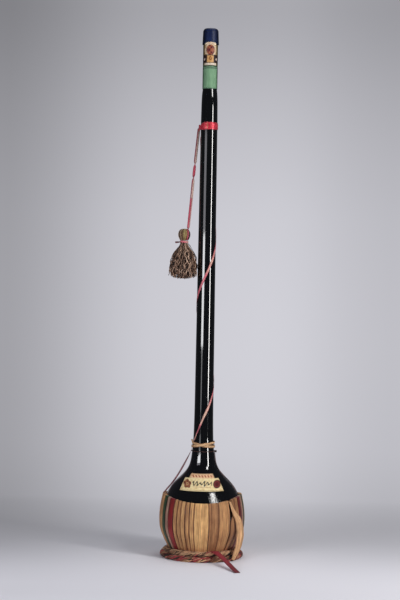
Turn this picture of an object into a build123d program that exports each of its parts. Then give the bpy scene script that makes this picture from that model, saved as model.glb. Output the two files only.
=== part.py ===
from build123d import *
import math
import os

# A very tall straw-covered wine flask. Millimetres, +Z up. The origin is the centre of the base on the
# surface it stands on, and -Y is the front, where the paper label is.

# Driving dimensions
total_height = 1160.0
basket_radius = 93.9
basket_height = 132.4
ring_inset = 2.9
shoulder_height = 310.0
neck_low_radius = 21.0
neck_high_radius = 18.4
finish_radius = 15.7
glass_wall = 3.2
clearance = 0.3
overrun = 5.0
slope_step = 1.0
front_angle = -90.0
full_turn_angle = 360.0
longest_arc_angle = 90.0
arc_share = 0.45
halvings = 40

# Straw cover: outside of the blades. The foot, which the base ring goes round, is drawn in from the
# basket's radius as shares of its own inset and height; above it the shares are those of the basket
foot_inset = 47.0
foot_height = 33.0
foot_shares = [
    (1.0000, 0.1043),
    (0.7390, 0.1043),
    (0.5754, 0.2207),
    (0.4755, 0.4333),
    (0.4056, 0.6660),
    (0.2837, 1.0000),
]
belly_shares = [
    (0.915, 0.1209),
    (0.962, 0.2288),
    (0.990, 0.3407),
    (1.000, 0.4672),
    (0.999, 0.5871),
    (0.988, 0.7070),
    (0.966, 0.8269),
    (0.942, 0.9267),
    (0.922, 1.0000),
]
blade_thickness = 1.2
blade_gap = 0.5
fold_width = 2.6
rim_cord_radius = 0.95
floor_thickness = 1.5

# Shares of the whole turn that the blades take up, from the green stripe at the front left round by the front
blade_turn_shares = [
    ("green", 8.5),
    ("white", 7.0),
    ("red", 10.0),
    ("narrow", 6.2),
    ("narrow", 5.8),
    ("narrow", 6.6),
    ("narrow", 6.4),
    ("narrow", 6.3),
    ("broad", 20.2),
    ("broad", 13.8),
    ("broad", 17.6),
    ("open", 5.0),
    ("narrow", 6.6),
    ("narrow", 7.6),
    ("red", 9.0),
    ("white", 7.0),
    ("green", 8.0),
    ("narrow", 9.6),
    ("broad", 13.4),
    ("narrow", 10.0),
    ("narrow", 8.8),
    ("broad", 14.0),
    ("narrow", 9.2),
    ("broad", 12.6),
    ("narrow", 10.0),
    ("narrow", 9.4),
    ("red", 10.0),
    ("white", 7.0),
    ("green", 8.5),
    ("narrow", 10.2),
    ("broad", 12.6),
    ("narrow", 8.4),
    ("narrow", 9.6),
    ("broad", 14.0),
    ("narrow", 8.8),
    ("broad", 12.8),
    ("narrow", 9.5),
]
first_blade_angle = -157.5

# Base ring: one unbroken straw rope of two turns, the upper turn drawn in
strand_radius = 5.9
strand_gap = 0.5
upper_turn_inset = 6.1
foot_cut = 0.5
rope_start_angle = 841.0
climb_start_angle = 546.0
climb_end_angle = 486.0
rope_end_angle = 191.0
rope_samples = 720
rope_sample_stride = 3
rope_apart_angle = 60.0

# Flask
punt_height = 10.0
punt_radius = 30.0
bottom_level = 4.9
shoulder_shares = [
    (0.985, 0.010),
    (0.906, 0.060),
    (0.833, 0.107),
    (0.648, 0.190),
    (0.388, 0.276),
    (0.210, 0.348),
    (0.120, 0.416),
    (0.074, 0.507),
    (0.037, 0.625),
    (0.015, 0.760),
]
shoulder_foot_inset = 3.6
rim_drop = 3.3
wall_inside_share = 0.80
neck_taper_radius = 17.9
neck_top_radius = 16.8
step_height = 3.0
neck_taper_drop = 26.0
neck_high_drop = 66.0
lip_drop = 29.5
lip_radius = 16.9
lip_height = 8.0
mouth_ledge_radius = 15.9
mouth_drop = 4.5
mouth_round = 3.2
bore_radius = 9.5
bore_length = 62.0
bore_flare = 24.0
wine_rise = 9.0

# Papers round the neck's top: the seal below the lip, and the green band from it down to the finish's foot
paper = 0.35
green_band_height = 48.2
seal_height = 45.5
seal_gap = 1.6
seal_drop = 4.4
tab_angle = 60.0
tab_rise = 7.5

mouth_level = total_height - mouth_drop
lip_level = mouth_level - lip_drop
seal_low = lip_level - seal_drop - seal_height
green_band_low = seal_low - seal_gap - green_band_height
finish_level = green_band_low - clearance
neck_taper_level = finish_level - neck_taper_drop
neck_high_level = finish_level - neck_high_drop
wine_level = finish_level + wine_rise

# Cork and capsule
cork_fit = 0.05
cork_length = 38.0
capsule_wall = 0.5
capsule_low_radius = 18.2
capsule_high_radius = 17.0
capsule_height = 36.0
capsule_edge_level = total_height - capsule_height
capsule_shoulder_drop = 10.0
capsule_dome_shares = [(0.965, 0.45), (0.85, 0.76), (0.59, 0.93)]

# Red satin band and the ribbon that winds down the neck
band_drop = 90.0
band_level = finish_level - band_drop
band_height = 16.0
band_thickness = 0.6
ribbon_width = 5.4
ribbon_thickness = 0.6
ribbon_step_angle = 15.0
ribbon_seat = 0.5
ribbon_start_drop = 4.5
# Angle, and share of the height from the tie up to the ribbon's start
ribbon_winding_shares = [
    (180.0, 1.0),
    (90.0, 0.8269),
    (0.0, 0.6560),
    (-90.0, 0.5547),
    (-180.0, 0.4562),
    (-270.0, 0.3287),
    (-360.0, 0.1999),
    (-450.0, 0.1028),
    (-535.0, 0.0),
]
# The stretch from the neck to the basket's rim, along its own plane: shares of the shoulder's width and height
stay_shares = [(0.1065, 0.5633), (0.2968, 0.4439), (0.5226, 0.3179), (0.7323, 0.1985), (0.9129, 0.0989),
               (1.0032, 0.0448)]

# Raffia tie at the foot of the neck
tie_level_share = 0.6462
tie_swing = 5.0
tie_width = 6.6
tie_thickness = 1.0
tie_step_angle = 15.0
tie_lap = 3.2
tie_knot_size = 8.0
tie_knot_shares = (1.1, 0.66, 0.9)

# Dark cord below the tie, its knot and the strand down the right of the shoulder
dark_cord_level_share = 0.5633
dark_cord_radius = 0.8
dark_knot_radius = 2.3
dark_knot_angle = -8.0
shoulder_strand_angle = -4.0
shoulder_strand_width = 3.6
shoulder_strand_thickness = 0.9
shoulder_strand_shares = [0.5467, 0.4804, 0.4196, 0.3698, 0.3201, 0.2703, 0.2206, 0.1763, 0.1321, 0.0879, 0.0492]

# Paper label on the shoulder
label_level_share = 0.1211
label_height = 27.0
label_half_low = 49.0
label_half_high = 35.8
banner_height = 9.5
banner_half_low = 27.5
banner_half_high = 21.3
label_gap = 0.4
label_steps = 8

# Loose blade at the right of the front, from its top down: angle, and shares of the basket's radius and
# height and of the blade's width
loose_width = 16.0
loose_thickness = 0.9
loose_shares = [
    (-46.11, 0.9294, 0.9743, 0.3625),
    (-45.78, 0.9956, 0.8837, 0.3750),
    (-42.71, 1.0363, 0.7855, 0.5312),
    (-38.30, 1.0653, 0.6873, 0.7500),
    (-36.25, 1.0895, 0.5589, 0.9375),
    (-35.93, 1.0981, 0.4230, 1.0000),
    (-37.65, 1.0896, 0.2795, 0.9688),
    (-40.73, 1.0610, 0.1435, 0.8750),
    (-44.16, 1.0242, 0.0264, 0.7500),
]
loose_face_angle = -37.0

# Red ribbon end that slopes from the base ring to the floor: shares of its run and of its start's height
tail_width = 11.5
tail_thickness = 0.8
tail_run = 128.6
tail_inset = 0.52
tail_seat = 0.37
tail_start_angle = -68.86
tail_direction_angle = -68.3
tail_shares = [(0.0, 1.0), (0.1944, 0.9275), (0.4160, 0.7209), (0.7076, 0.3429), (1.0, 0.0352)]

# Hanging ribbon and tassel
knot_depth = 5.0
knot_width = 9.0
knot_height = 10.0
knot_rise = 3.8
hanging_width = 5.0
hanging_thickness = 0.8
# Run away from the neck's middle and drop below the red band's lower edge
hanging_route = [(-22.3, -3.2), (-27.6, 52.0), (-31.8, 98.0), (-36.6, 158.0), (-41.6, 214.6)]
head_offset = -8.7
head_drop = 2.2
head_height = 25.8
head_radius = 13.2
waist_radius = 8.6
head_shares = [(0.84, 0.16), (1.0, 0.42), (0.97, 0.68), (0.74, 0.90), (0.36, 0.99)]
waist_height = 4.4
waist_thickness = 1.0
stub_length = 11.0
stub_radius = 1.1
hanger_width = 3.2
hanger_thickness = 0.7
hanger_top_gap = 0.4
hanger_top_share = 0.70
hanger_low_share = 0.03
hanger_low_angle = -49.0
hanger_steps = 12
skirt_length = 74.3
skirt_slice = 3.0
skirt_top_radius = 7.6
skirt_mid_radius = 23.5
skirt_mid_drop = 27.8
skirt_low_radius = 30.0
skirt_lean = 1.4
strand_count = 300
strand_top_size = 0.21
strand_low_size = 0.62
strand_corner_angles = (0, 120, 240)


def at(radius, angle, level):
    """A point at a radius and an angle in degrees round the axis."""
    turn = math.radians(angle)
    return Vector(radius * math.cos(turn), radius * math.sin(turn), level)


def place(radius, level):
    """A point of an outline, in the plane that is turned round the axis."""
    return Vector(radius, 0, level)


def shifted(outline, distance):
    """An outline of (radius, level) moved sideways by a distance, to the right of its own course."""
    moved = []
    for index, (radius, level) in enumerate(outline):
        before = outline[max(index - 1, 0)]
        after = outline[min(index + 1, len(outline) - 1)]
        run, rise = after[0] - before[0], after[1] - before[1]
        length = math.hypot(run, rise)
        moved.append((radius + distance * rise / length, level - distance * run / length))
    return moved


def turned(edges, angle=360.0, start=0.0):
    """The solid that a closed outline makes, turned round the axis."""
    face = make_face(edges)
    solid = revolve(face, Axis.Z, revolution_arc=angle)
    return Rot(0, 0, start) * solid


def smooth(outline):
    """A curve through an outline's points."""
    return Spline([place(*point) for point in outline])


def straight(*points):
    return Polyline([place(*point) for point in points])


def level_radius(curve, level):
    """Radius of an outline's curve at a level that it crosses once."""
    low, high = 0.0, 1.0
    for _ in range(halvings):
        middle = (low + high) / 2
        if (curve @ middle).Z < level:
            low = middle
        else:
            high = middle
    return (curve @ low).X


def strip(stations, width, thickness):
    """A flat strip through stations of (centre, outward direction), or (centre, outward, width)."""
    sections = []
    for index, station in enumerate(stations):
        centre, outward = station[0], station[1].normalized()
        wide = station[2] if len(station) > 2 else width
        before = stations[max(index - 1, 0)][0]
        after = stations[min(index + 1, len(stations) - 1)][0]
        along = (after - before).normalized()
        across = along.cross(outward).normalized()
        outward = across.cross(along).normalized()
        side, lift = across * (wide / 2), outward * (thickness / 2)
        corners = [centre - side - lift, centre + side - lift, centre + side + lift, centre - side + lift]
        sections.append(Wire.make_polygon(corners, close=True))
    return Solid.make_loft(sections, ruled=True)


def between(table, value):
    """Straight-line reading of a table of (value, result) whose values fall."""
    for (high, first), (low, second) in zip(table, table[1:]):
        if value >= low:
            share = (high - value) / (high - low)
            return first + (second - first) * share
    return table[-1][1]


def eased(table, value):
    """Smooth reading of a table of (value, result) with even steps, whose values fall."""
    step = table[0][0] - table[1][0]
    window = step / 2
    return (between(table, min(value + window, table[0][0])) + between(table, value) * 2
            + between(table, max(value - window, table[-1][0]))) / 4


belly = [(basket_radius - foot_inset * r, foot_height * z) for r, z in foot_shares]
belly += [(basket_radius * r, foot_height + (basket_height - foot_height) * z) for r, z in belly_shares]
belly_inside = shifted(belly, -blade_thickness)
belly_inside[1] = (belly_inside[1][0], belly_inside[0][1])

# Outside of the flask: bottom, belly under the straw, shoulder, neck and mouth
flask_belly = [point for point in shifted(belly_inside, -clearance) if point[1] < basket_height * wall_inside_share]
flask_belly[:2] = [(radius, bottom_level) for radius, _ in flask_belly[:2]]
shoulder_foot = (belly[-1][0] - shoulder_foot_inset, basket_height - rim_drop)


def on_shoulder(radius_share, level_share):
    """Radius and level from shares of the shoulder, 0 and 1 at the neck and 1 and 0 at its foot."""
    radius = neck_low_radius + (shoulder_foot[0] - neck_low_radius) * radius_share
    return radius, shoulder_foot[1] + (shoulder_height - shoulder_foot[1]) * level_share


shoulder = [on_shoulder(*shares) for shares in shoulder_shares]
flask_low = flask_belly + [shoulder_foot] + shoulder[1:] + [(neck_low_radius, shoulder_height)]
flask_curve = smooth(flask_low[1:])
neck_line = [
    (neck_low_radius, shoulder_height),
    (neck_high_radius, neck_high_level),
    (neck_taper_radius, neck_taper_level),
    (neck_top_radius, finish_level - step_height),
    (finish_radius, finish_level),
]
tie_level = on_shoulder(0, tie_level_share)[1]
dark_cord_level = on_shoulder(0, dark_cord_level_share)[1]
knot_level = band_level + knot_rise
ring_radius = basket_radius - ring_inset
lower_ring_radius = ring_radius - strand_radius
upper_ring_radius = lower_ring_radius - upper_turn_inset
lower_ring_level = strand_radius - foot_cut
turn_spacing = 2 * strand_radius + strand_gap
upper_ring_level = lower_ring_level + math.sqrt(turn_spacing**2 - upper_turn_inset**2)


def glass_radius(level):
    """Radius of the flask's outside at a level."""
    if level < shoulder_height:
        return level_radius(flask_curve, level)
    return between([(-z, r) for r, z in neck_line], -level)


def flask_and_wine():
    """The blown flask as two solids that meet face to face at the foot of its mouth, and the wine."""
    mouth = straight(
        (finish_radius, finish_level),
        (finish_radius, lip_level - (lip_radius - finish_radius)),
        (lip_radius, lip_level),
        (lip_radius, lip_level + lip_height),
        (mouth_ledge_radius, lip_level + lip_height + lip_radius - mouth_ledge_radius),
        (mouth_ledge_radius, mouth_level - mouth_round),
    )
    rounding = Spline(
        [place(mouth_ledge_radius, mouth_level - mouth_round), place(mouth_ledge_radius - mouth_round, mouth_level)],
        tangents=[place(0, 1), place(-1, 0)],
    )
    bore_low = mouth_level - bore_length
    inside_low = shifted(flask_low, -glass_wall)
    inside_low[1] = (inside_low[1][0], inside_low[0][1])
    inside_line = [
        inside_low[-1],
        (neck_high_radius - glass_wall, neck_high_level),
        (neck_taper_radius - glass_wall, neck_taper_level),
        (finish_radius - glass_wall, finish_level - step_height),
        (finish_radius - glass_wall, finish_level),
    ]
    bore = straight(
        (mouth_ledge_radius - mouth_round, mouth_level),
        (bore_radius, mouth_level),
        (bore_radius, bore_low),
        (finish_radius - glass_wall, bore_low - bore_flare),
        inside_line[-1],
    )
    inside = smooth(inside_low[1:])
    inside_bottom = inside_low[0][1]
    inner_bottom = straight(inside_low[1], (punt_radius, inside_bottom), (0, inside_bottom + punt_height))
    outer_bottom = straight((0, bottom_level + punt_height), (punt_radius, bottom_level), flask_low[1])
    axis_line = straight((0, inside_bottom + punt_height), (0, bottom_level + punt_height))
    meeting = straight(neck_line[-1], inside_line[-1])
    flask = turned([
        flask_curve, straight(*neck_line), meeting, straight(*inside_line), inside, inner_bottom, axis_line,
        outer_bottom,
    ])
    flask_mouth = turned([mouth, rounding, bore, meeting])

    wine_low = shifted(inside_low, -clearance)
    wine_low[1] = (wine_low[1][0], wine_low[0][1])
    wine_bottom = wine_low[0][1]
    wine_neck = [(radius - clearance, level) for radius, level in inside_line[1:-1]]
    wine = turned([
        smooth(wine_low[1:]),
        straight(wine_low[-1], *wine_neck, (wine_neck[-1][0], wine_level), (0, wine_level),
                 (0, wine_bottom + punt_height), (punt_radius, wine_bottom), wine_low[1]),
    ])
    return flask, flask_mouth, wine


def blade_outline():
    """Edges round a blade's section, from the turned-under end up and folded in over the rim cord."""
    top, inner_top = belly[-1], belly_inside[-1]
    fold = straight(
        top,
        (top[0] - fold_width, top[1] + blade_thickness / 2),
        (top[0] - fold_width, top[1] - blade_thickness / 2),
        inner_top,
    )
    under = straight(belly_inside[1], belly_inside[0], belly[0], belly[1])
    return [smooth(belly[1:]), fold, smooth(belly_inside[1:]), under]


def straw_blades():
    groups = {"green": [], "white": [], "red": [], "narrow": [], "broad": []}
    gap_angle = math.degrees(blade_gap / basket_radius)
    outline = blade_outline()
    start = first_blade_angle
    whole = sum(share for _, share in blade_turn_shares)
    for kind, share in blade_turn_shares:
        width = full_turn_angle * share / whole
        if kind != "open":
            groups[kind].append(turned(outline, width - gap_angle, start + gap_angle / 2))
        start += width
    print("blades turn through", round(start - first_blade_angle, 3), "degrees")
    return groups


def rim_cord():
    level = belly[-1][1] - blade_thickness / 2 - rim_cord_radius - clearance * 2
    inner = glass_radius(level)
    outer = level_radius(smooth(belly_inside[1:]), level)
    return Pos(0, 0, level) * Torus((inner + outer) / 2, rim_cord_radius)


def basket_floor():
    """Crossed straw under the flask, inside the blades' turned-under ends."""
    top = belly[0][1] - clearance
    return Pos(0, 0, top - floor_thickness / 2) * Cylinder(belly[1][0], floor_thickness)


def biarc(first, first_way, last, last_way):
    """Two arcs that leave a point one way and reach another a second way."""
    chord, ways = last - first, first_way + last_way
    factor = 2 * (1 - first_way.dot(last_way))
    reach = (-chord.dot(ways) + math.sqrt(chord.dot(ways) ** 2 + factor * chord.dot(chord))) / factor
    first_corner, last_corner = first + first_way * reach, last - last_way * reach
    middle = (first_corner + last_corner) * 0.5
    middle_way = (last_corner - first_corner).normalized()
    return [
        Edge.make_tangent_arc(first, first_way, middle),
        Edge.make_tangent_arc(middle, middle_way, last),
    ]


def level_arcs(radius, level, start, end):
    """Short arcs one after another, clockwise from one angle to another."""
    count = math.ceil((start - end) / longest_arc_angle)
    step = (start - end) / count
    arcs = []
    for index in range(count):
        high = start - step * index
        arcs.append(ThreePointArc(at(radius, high, level), at(radius, high - step / 2, level),
                                  at(radius, high - step, level)))
    return arcs


def base_ring():
    def way(angle):
        return at(1, angle - 90, 0)

    climb = biarc(
        at(lower_ring_radius, climb_start_angle, lower_ring_level), way(climb_start_angle),
        at(upper_ring_radius, climb_end_angle, upper_ring_level), way(climb_end_angle),
    )
    path = Wire(
        level_arcs(lower_ring_radius, lower_ring_level, rope_start_angle, climb_start_angle)
        + climb
        + level_arcs(upper_ring_radius, upper_ring_level, climb_end_angle, rope_end_angle)
    )
    start = at(lower_ring_radius, rope_start_angle, lower_ring_level)
    section = Plane(origin=start, z_dir=way(rope_start_angle)) * Circle(strand_radius)
    rope = sweep(section, path)
    below_width = 2 * (ring_radius + overrun)
    below = Pos(0, 0, -overrun / 2) * Box(below_width, below_width, overrun)

    samples = [path @ (index / rope_samples) for index in range(rope_samples + 1)]
    apart = round(rope_samples * rope_apart_angle / (rope_start_angle - rope_end_angle))
    least = min(
        (samples[i] - samples[j]).length
        for i in range(0, len(samples), rope_sample_stride)
        for j in range(i + apart, len(samples))
    )
    print("base ring: least gap of the rope to itself", round(least - 2 * strand_radius, 3))
    print("base ring: volume", round(rope.volume), "section times length",
          round(math.pi * strand_radius**2 * path.length))
    return rope - below


def cork_and_capsule():
    top = mouth_level - clearance
    cork = Pos(0, 0, top - cork_length / 2) * Cylinder(bore_radius - cork_fit, cork_length)
    shoulder_level = total_height - capsule_shoulder_drop
    rise = total_height - shoulder_level
    outer = [(capsule_low_radius, capsule_edge_level), (capsule_high_radius, shoulder_level)]
    dome = [(capsule_high_radius * r, shoulder_level + rise * z) for r, z in capsule_dome_shares]
    outer_dome = [outer[-1]] + dome + [(0, total_height)]
    inner_dome = [(max(r, 0), z) for r, z in shifted(outer_dome, -capsule_wall)]
    inner_dome[0] = (capsule_high_radius - capsule_wall, shoulder_level)
    inner_dome[-1] = (0, total_height - capsule_wall)
    inner_low = (capsule_low_radius - capsule_wall, capsule_edge_level)
    capsule = turned([
        straight(*outer), smooth(outer_dome), straight(outer_dome[-1], inner_dome[-1]), smooth(inner_dome),
        straight(inner_dome[0], inner_low, outer[0]),
    ])
    return cork, capsule


def neck_papers():
    inner = finish_radius + clearance
    green = turned([straight(
        (inner, green_band_low), (inner + paper, green_band_low),
        (inner + paper, green_band_low + green_band_height), (inner, green_band_low + green_band_height),
        (inner, green_band_low),
    )])
    low, high = seal_low, seal_low + seal_height
    tube = turned([straight((inner, low), (inner + paper, low), (inner + paper, high), (inner, high), (inner, low))])
    over = capsule_low_radius + clearance
    under = capsule_edge_level - clearance
    tab_top = capsule_edge_level + tab_rise
    tab_outline = [straight(
        (inner, high - paper), (inner + paper, high - paper), (over + paper, under - paper),
        (over + paper, tab_top), (over, tab_top), (over, under), (inner + paper, high), (inner, high),
        (inner, high - paper),
    )]
    tab = turned(tab_outline, tab_angle, front_angle - tab_angle / 2)
    return green, tube + tab


def neck_ribbons():
    inner = glass_radius(band_level) + clearance
    band = Pos(0, 0, band_level + band_height / 2) * (
        Cylinder(inner + band_thickness, band_height) - Cylinder(inner, band_height + overrun)
    )
    stations = []
    angle = ribbon_winding_shares[0][0]
    seat = ribbon_seat + ribbon_thickness / 2
    low_level, high_level = tie_level - tie_swing, band_level - ribbon_start_drop
    while angle >= ribbon_winding_shares[-1][0]:
        level = low_level + (high_level - low_level) * eased(ribbon_winding_shares, angle)
        stations.append((at(glass_radius(level) + seat, angle, level), at(1, angle, 0)))
        angle -= ribbon_step_angle
    plane_angle = ribbon_winding_shares[-1][0]
    stay = [on_shoulder(*shares) for shares in stay_shares]
    for index, (radius, level) in enumerate(stay):
        last = stay[max(index - 1, 0)]
        after = stay[min(index + 1, len(stay) - 1)]
        run, rise = after[0] - last[0], after[1] - last[1]
        outward = at(-rise, plane_angle, run)
        stations.append((at(radius, plane_angle, level), outward))
    ribbon = strip(stations, ribbon_width, ribbon_thickness)
    return band, ribbon, inner + band_thickness


def raffia():
    under = ribbon_seat + ribbon_thickness + 2 * clearance + tie_thickness / 2
    stations = []
    steps = round(720 / tie_step_angle)
    for step in range(steps + 1):
        angle = 90 + step * tie_step_angle
        share = step / steps
        side = 1 if share < 0.5 else -1
        level = tie_level - side * tie_swing * math.cos(math.radians(angle))
        radius = glass_radius(tie_level - tie_swing) + under + tie_lap * share
        stations.append((at(radius, angle, level), at(1, angle, 0)))
    strand = strip(stations, tie_width, tie_thickness)
    back = glass_radius(tie_level - tie_swing) + under + tie_lap + tie_thickness / 2 + clearance
    knot = Pos(0, back + tie_knot_shares[1] * tie_knot_size / 2, tie_level) * scale(
        Sphere(tie_knot_size / 2), by=tie_knot_shares
    )
    return strand, knot


def dark_cord():
    radius = glass_radius(dark_cord_level - dark_cord_radius) + clearance + dark_cord_radius
    loop = Pos(0, 0, dark_cord_level) * Torus(radius, dark_cord_radius)
    knot = Pos(at(radius + dark_knot_radius - dark_cord_radius, dark_knot_angle, dark_cord_level)) * Sphere(
        dark_knot_radius
    )
    seat = clearance + shoulder_strand_thickness / 2 + ribbon_seat
    stations = []
    for share in shoulder_strand_shares:
        level = on_shoulder(0, share)[1]
        slope = glass_radius(level + slope_step) - glass_radius(level - slope_step)
        outward = at(2 * slope_step, shoulder_strand_angle, -slope)
        base = at(glass_radius(level), shoulder_strand_angle, level)
        stations.append((base + outward.normalized() * seat, outward))
    strand = strip(stations, shoulder_strand_width, shoulder_strand_thickness)
    return loop + knot, strand


def shoulder_paper(low, high, half_low, half_high):
    """A paper that lies on the front of the shoulder, cut straight at its sides."""
    levels = [low + (high - low) * step / label_steps for step in range(label_steps + 1)]
    seat = [(glass_radius(level), level) for level in levels]
    inner = shifted(seat, label_gap)
    outer = shifted(inner, paper)
    sheet = turned([smooth(inner), straight(inner[-1], outer[-1]), smooth(outer), straight(outer[0], inner[0])],
                   180, -180)
    trapezoid = Polyline(
        Vector(-half_low, 0, low - overrun), Vector(half_low, 0, low - overrun),
        Vector(half_high, 0, high + overrun), Vector(-half_high, 0, high + overrun), close=True,
    )
    return sheet & extrude(make_face(trapezoid), basket_radius, both=True)


def loose_blade():
    outward = at(1, loose_face_angle, 0)
    stations = [
        (at(basket_radius * radius, angle, basket_height * level), outward, loose_width * width)
        for angle, radius, level, width in loose_shares
    ]
    return strip(stations, loose_width, loose_thickness)


def cord_path(name, points):
    """Straight runs joined by arcs as large as the runs allow."""
    radii = []
    for before, corner, after in zip(points, points[1:], points[2:]):
        first, second = corner - before, after - corner
        half_turn = math.radians(first.get_angle(second)) / 2
        radii.append(arc_share * min(first.length, second.length) / math.tan(half_turn))
    print(name, "radii", [round(radius) for radius in radii])
    return FilletPolyline(*points, radius=radii)


def flat_cord(name, points, side, width, thickness):
    """A flat ribbon along a route, its width along the given side."""
    path = cord_path(name, points)
    along = (points[1] - points[0]).normalized()
    section = Plane(origin=points[0], x_dir=side, z_dir=along) * Rectangle(width, thickness)
    ribbon = sweep(section, path)
    print(name, "length", round(path.length, 1), "volume", round(ribbon.volume), "section times length",
          round(width * thickness * path.length))
    return ribbon


def ribbon_tail():
    start = at(upper_ring_radius - tail_inset, tail_start_angle, 0)
    start_level = upper_ring_level + strand_radius + tail_seat + tail_thickness / 2
    ahead = at(1, tail_direction_angle, 0)
    points = [start + ahead * (tail_run * run) + Vector(0, 0, start_level * level) for run, level in tail_shares]
    return flat_cord("red ribbon tail", points, at(1, tail_direction_angle + 90, 0), tail_width, tail_thickness)


def hanging_ribbon():
    points = [place(x, band_level - drop) for x, drop in hanging_route]
    return flat_cord("hanging ribbon", points, Vector(0, 1, 0), hanging_width, hanging_thickness)


hanging_end = (hanging_route[-1][0], band_level - hanging_route[-1][1])
head_centre = hanging_end[0] + head_offset
head_top = hanging_end[1] - head_drop
head_low = head_top - head_height
skirt_top = head_low - waist_height - 4 * clearance


def tassel():
    axis = Pos(head_centre, 0, 0)
    outline = (
        [(waist_radius, head_low)]
        + [(head_radius * r, head_low + head_height * z) for r, z in head_shares]
        + [(0, head_top)]
    )
    side = smooth(outline)
    head = axis * turned([side, straight((0, head_top), (0, head_low), (waist_radius, head_low))])

    tie_low = head_low - waist_height - 3 * clearance
    tie = Pos(0, 0, tie_low + waist_height / 2) * Cylinder(waist_radius + waist_thickness, waist_height)
    stub = Pos(-waist_radius, 0, tie_low + waist_height / 2) * Rot(0, -90, 0) * Pos(0, 0, stub_length / 2) * Cylinder(
        stub_radius, stub_length
    )
    tie = axis * (tie + stub)

    centre = Vector(head_centre, 0, 0)
    stations = [(place(hanging_end[0], hanging_end[1] - hanger_top_gap), Vector(1, 0, 0))]
    steps = [step / hanger_steps for step in range(hanger_steps + 1)]
    course = [side @ (hanger_top_share + (hanger_low_share - hanger_top_share) * step) for step in steps]
    surface = shifted([(point.X, point.Z) for point in course], -clearance - hanger_thickness / 2)
    for step, point, (radius, level) in zip(steps, course, surface):
        angle = hanger_low_angle * (1 - math.cos(math.pi * step)) / 2
        outward = at(radius - point.X, angle, level - point.Z)
        stations.append((centre + at(radius, angle, level), outward))
    hanger = strip(stations, hanger_width, hanger_thickness)
    return head, tie, hanger


def tassel_skirt():
    slice_low = skirt_top - skirt_slice
    golden = math.pi * (3 - math.sqrt(5))
    levels = [
        (slice_low, skirt_top_radius, strand_top_size, 0),
        (skirt_top - skirt_mid_drop, skirt_mid_radius, (strand_top_size + strand_low_size) / 2, 0),
        (skirt_top - skirt_length, skirt_low_radius, strand_low_size, skirt_lean),
    ]
    crown = Pos(head_centre, 0, slice_low + skirt_slice / 2) * Cylinder(
        skirt_top_radius + 2 * strand_top_size, skirt_slice
    )
    below = crown.faces().sort_by(Axis.Z)[0]
    roots, faces = [], [face for face in crown.faces() if face != below]
    for index in range(strand_count):
        share = math.sqrt((index + 0.5) / strand_count)
        angle = math.degrees(index * golden)
        sections = []
        for level, spread, size, lean in levels:
            middle = at(spread * share, angle, level) + Vector(head_centre - lean, 0, 0)
            corners = [middle + at(size, angle + turn, 0) for turn in strand_corner_angles]
            sections.append(Wire.make_polygon(corners, close=True))
        strand = Solid.make_loft(sections, ruled=True).faces().sort_by(Axis.Z)
        roots.append(sections[0])
        faces += strand[:-1]
    faces.append(Face(below.outer_wire(), roots))
    return Solid(Shell(faces))


def ribbon_knot(seat_radius):
    return Pos(-seat_radius - clearance - knot_depth / 2, 0, knot_level + knot_height / 2) * scale(
        Sphere(knot_height / 2), by=(knot_depth / knot_height, knot_width / knot_height, 1)
    )


def build():
    flask, flask_mouth, wine = flask_and_wine()
    cork, capsule = cork_and_capsule()
    green, seal = neck_papers()
    band, ribbon, band_outside = neck_ribbons()
    raffia_tie, raffia_knot = raffia()
    cord, strand = dark_cord()
    blades = straw_blades()
    head, waist_tie, hanger = tassel()
    label_low = on_shoulder(0, label_level_share)[1]
    label_high = label_low + label_height
    banner_low = label_high + clearance
    return {
        "glass_flask": flask,
        "glass_flask_mouth": flask_mouth,
        "wine": wine,
        "cork": cork,
        "capsule": capsule,
        "neck_seal_strip": seal,
        "green_neck_band": green,
        "red_ribbon_band": band,
        "red_ribbon_knot": ribbon_knot(band_outside),
        "winding_ribbon": ribbon,
        "raffia_neck_tie": raffia_tie,
        "raffia_knot": raffia_knot,
        "dark_neck_cord": cord,
        "shoulder_strand": strand,
        "shoulder_label": shoulder_paper(label_low, label_high, label_half_low, label_half_high),
        "label_banner": shoulder_paper(banner_low, banner_low + banner_height, banner_half_low, banner_half_high),
        "broad_straw_blades": blades["broad"],
        "narrow_straw_blades": blades["narrow"],
        "red_straw_blades": blades["red"],
        "white_straw_blades": blades["white"],
        "green_straw_blades": blades["green"],
        "loose_straw_blade": loose_blade(),
        "rim_cord": rim_cord(),
        "basket_floor": basket_floor(),
        "base_ring": base_ring(),
        "red_ribbon_tail": ribbon_tail(),
        "hanging_ribbon": hanging_ribbon(),
        "tassel_hanger": hanger,
        "tassel_head": head,
        "tassel_waist_tie": waist_tie,
        "tassel_skirt": tassel_skirt(),
    }


os.makedirs("parts", exist_ok=True)
for name, piece in build().items():
    shape = Compound(children=list(piece)) if isinstance(piece, (list, tuple)) else piece
    export_step(shape, f"parts/{name}.step")
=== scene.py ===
import random
from math import asin, cos, degrees, pi, radians, sin, sqrt

import bpy
from mathutils import Matrix, Vector
from mathutils.bvhtree import BVHTree


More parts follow.
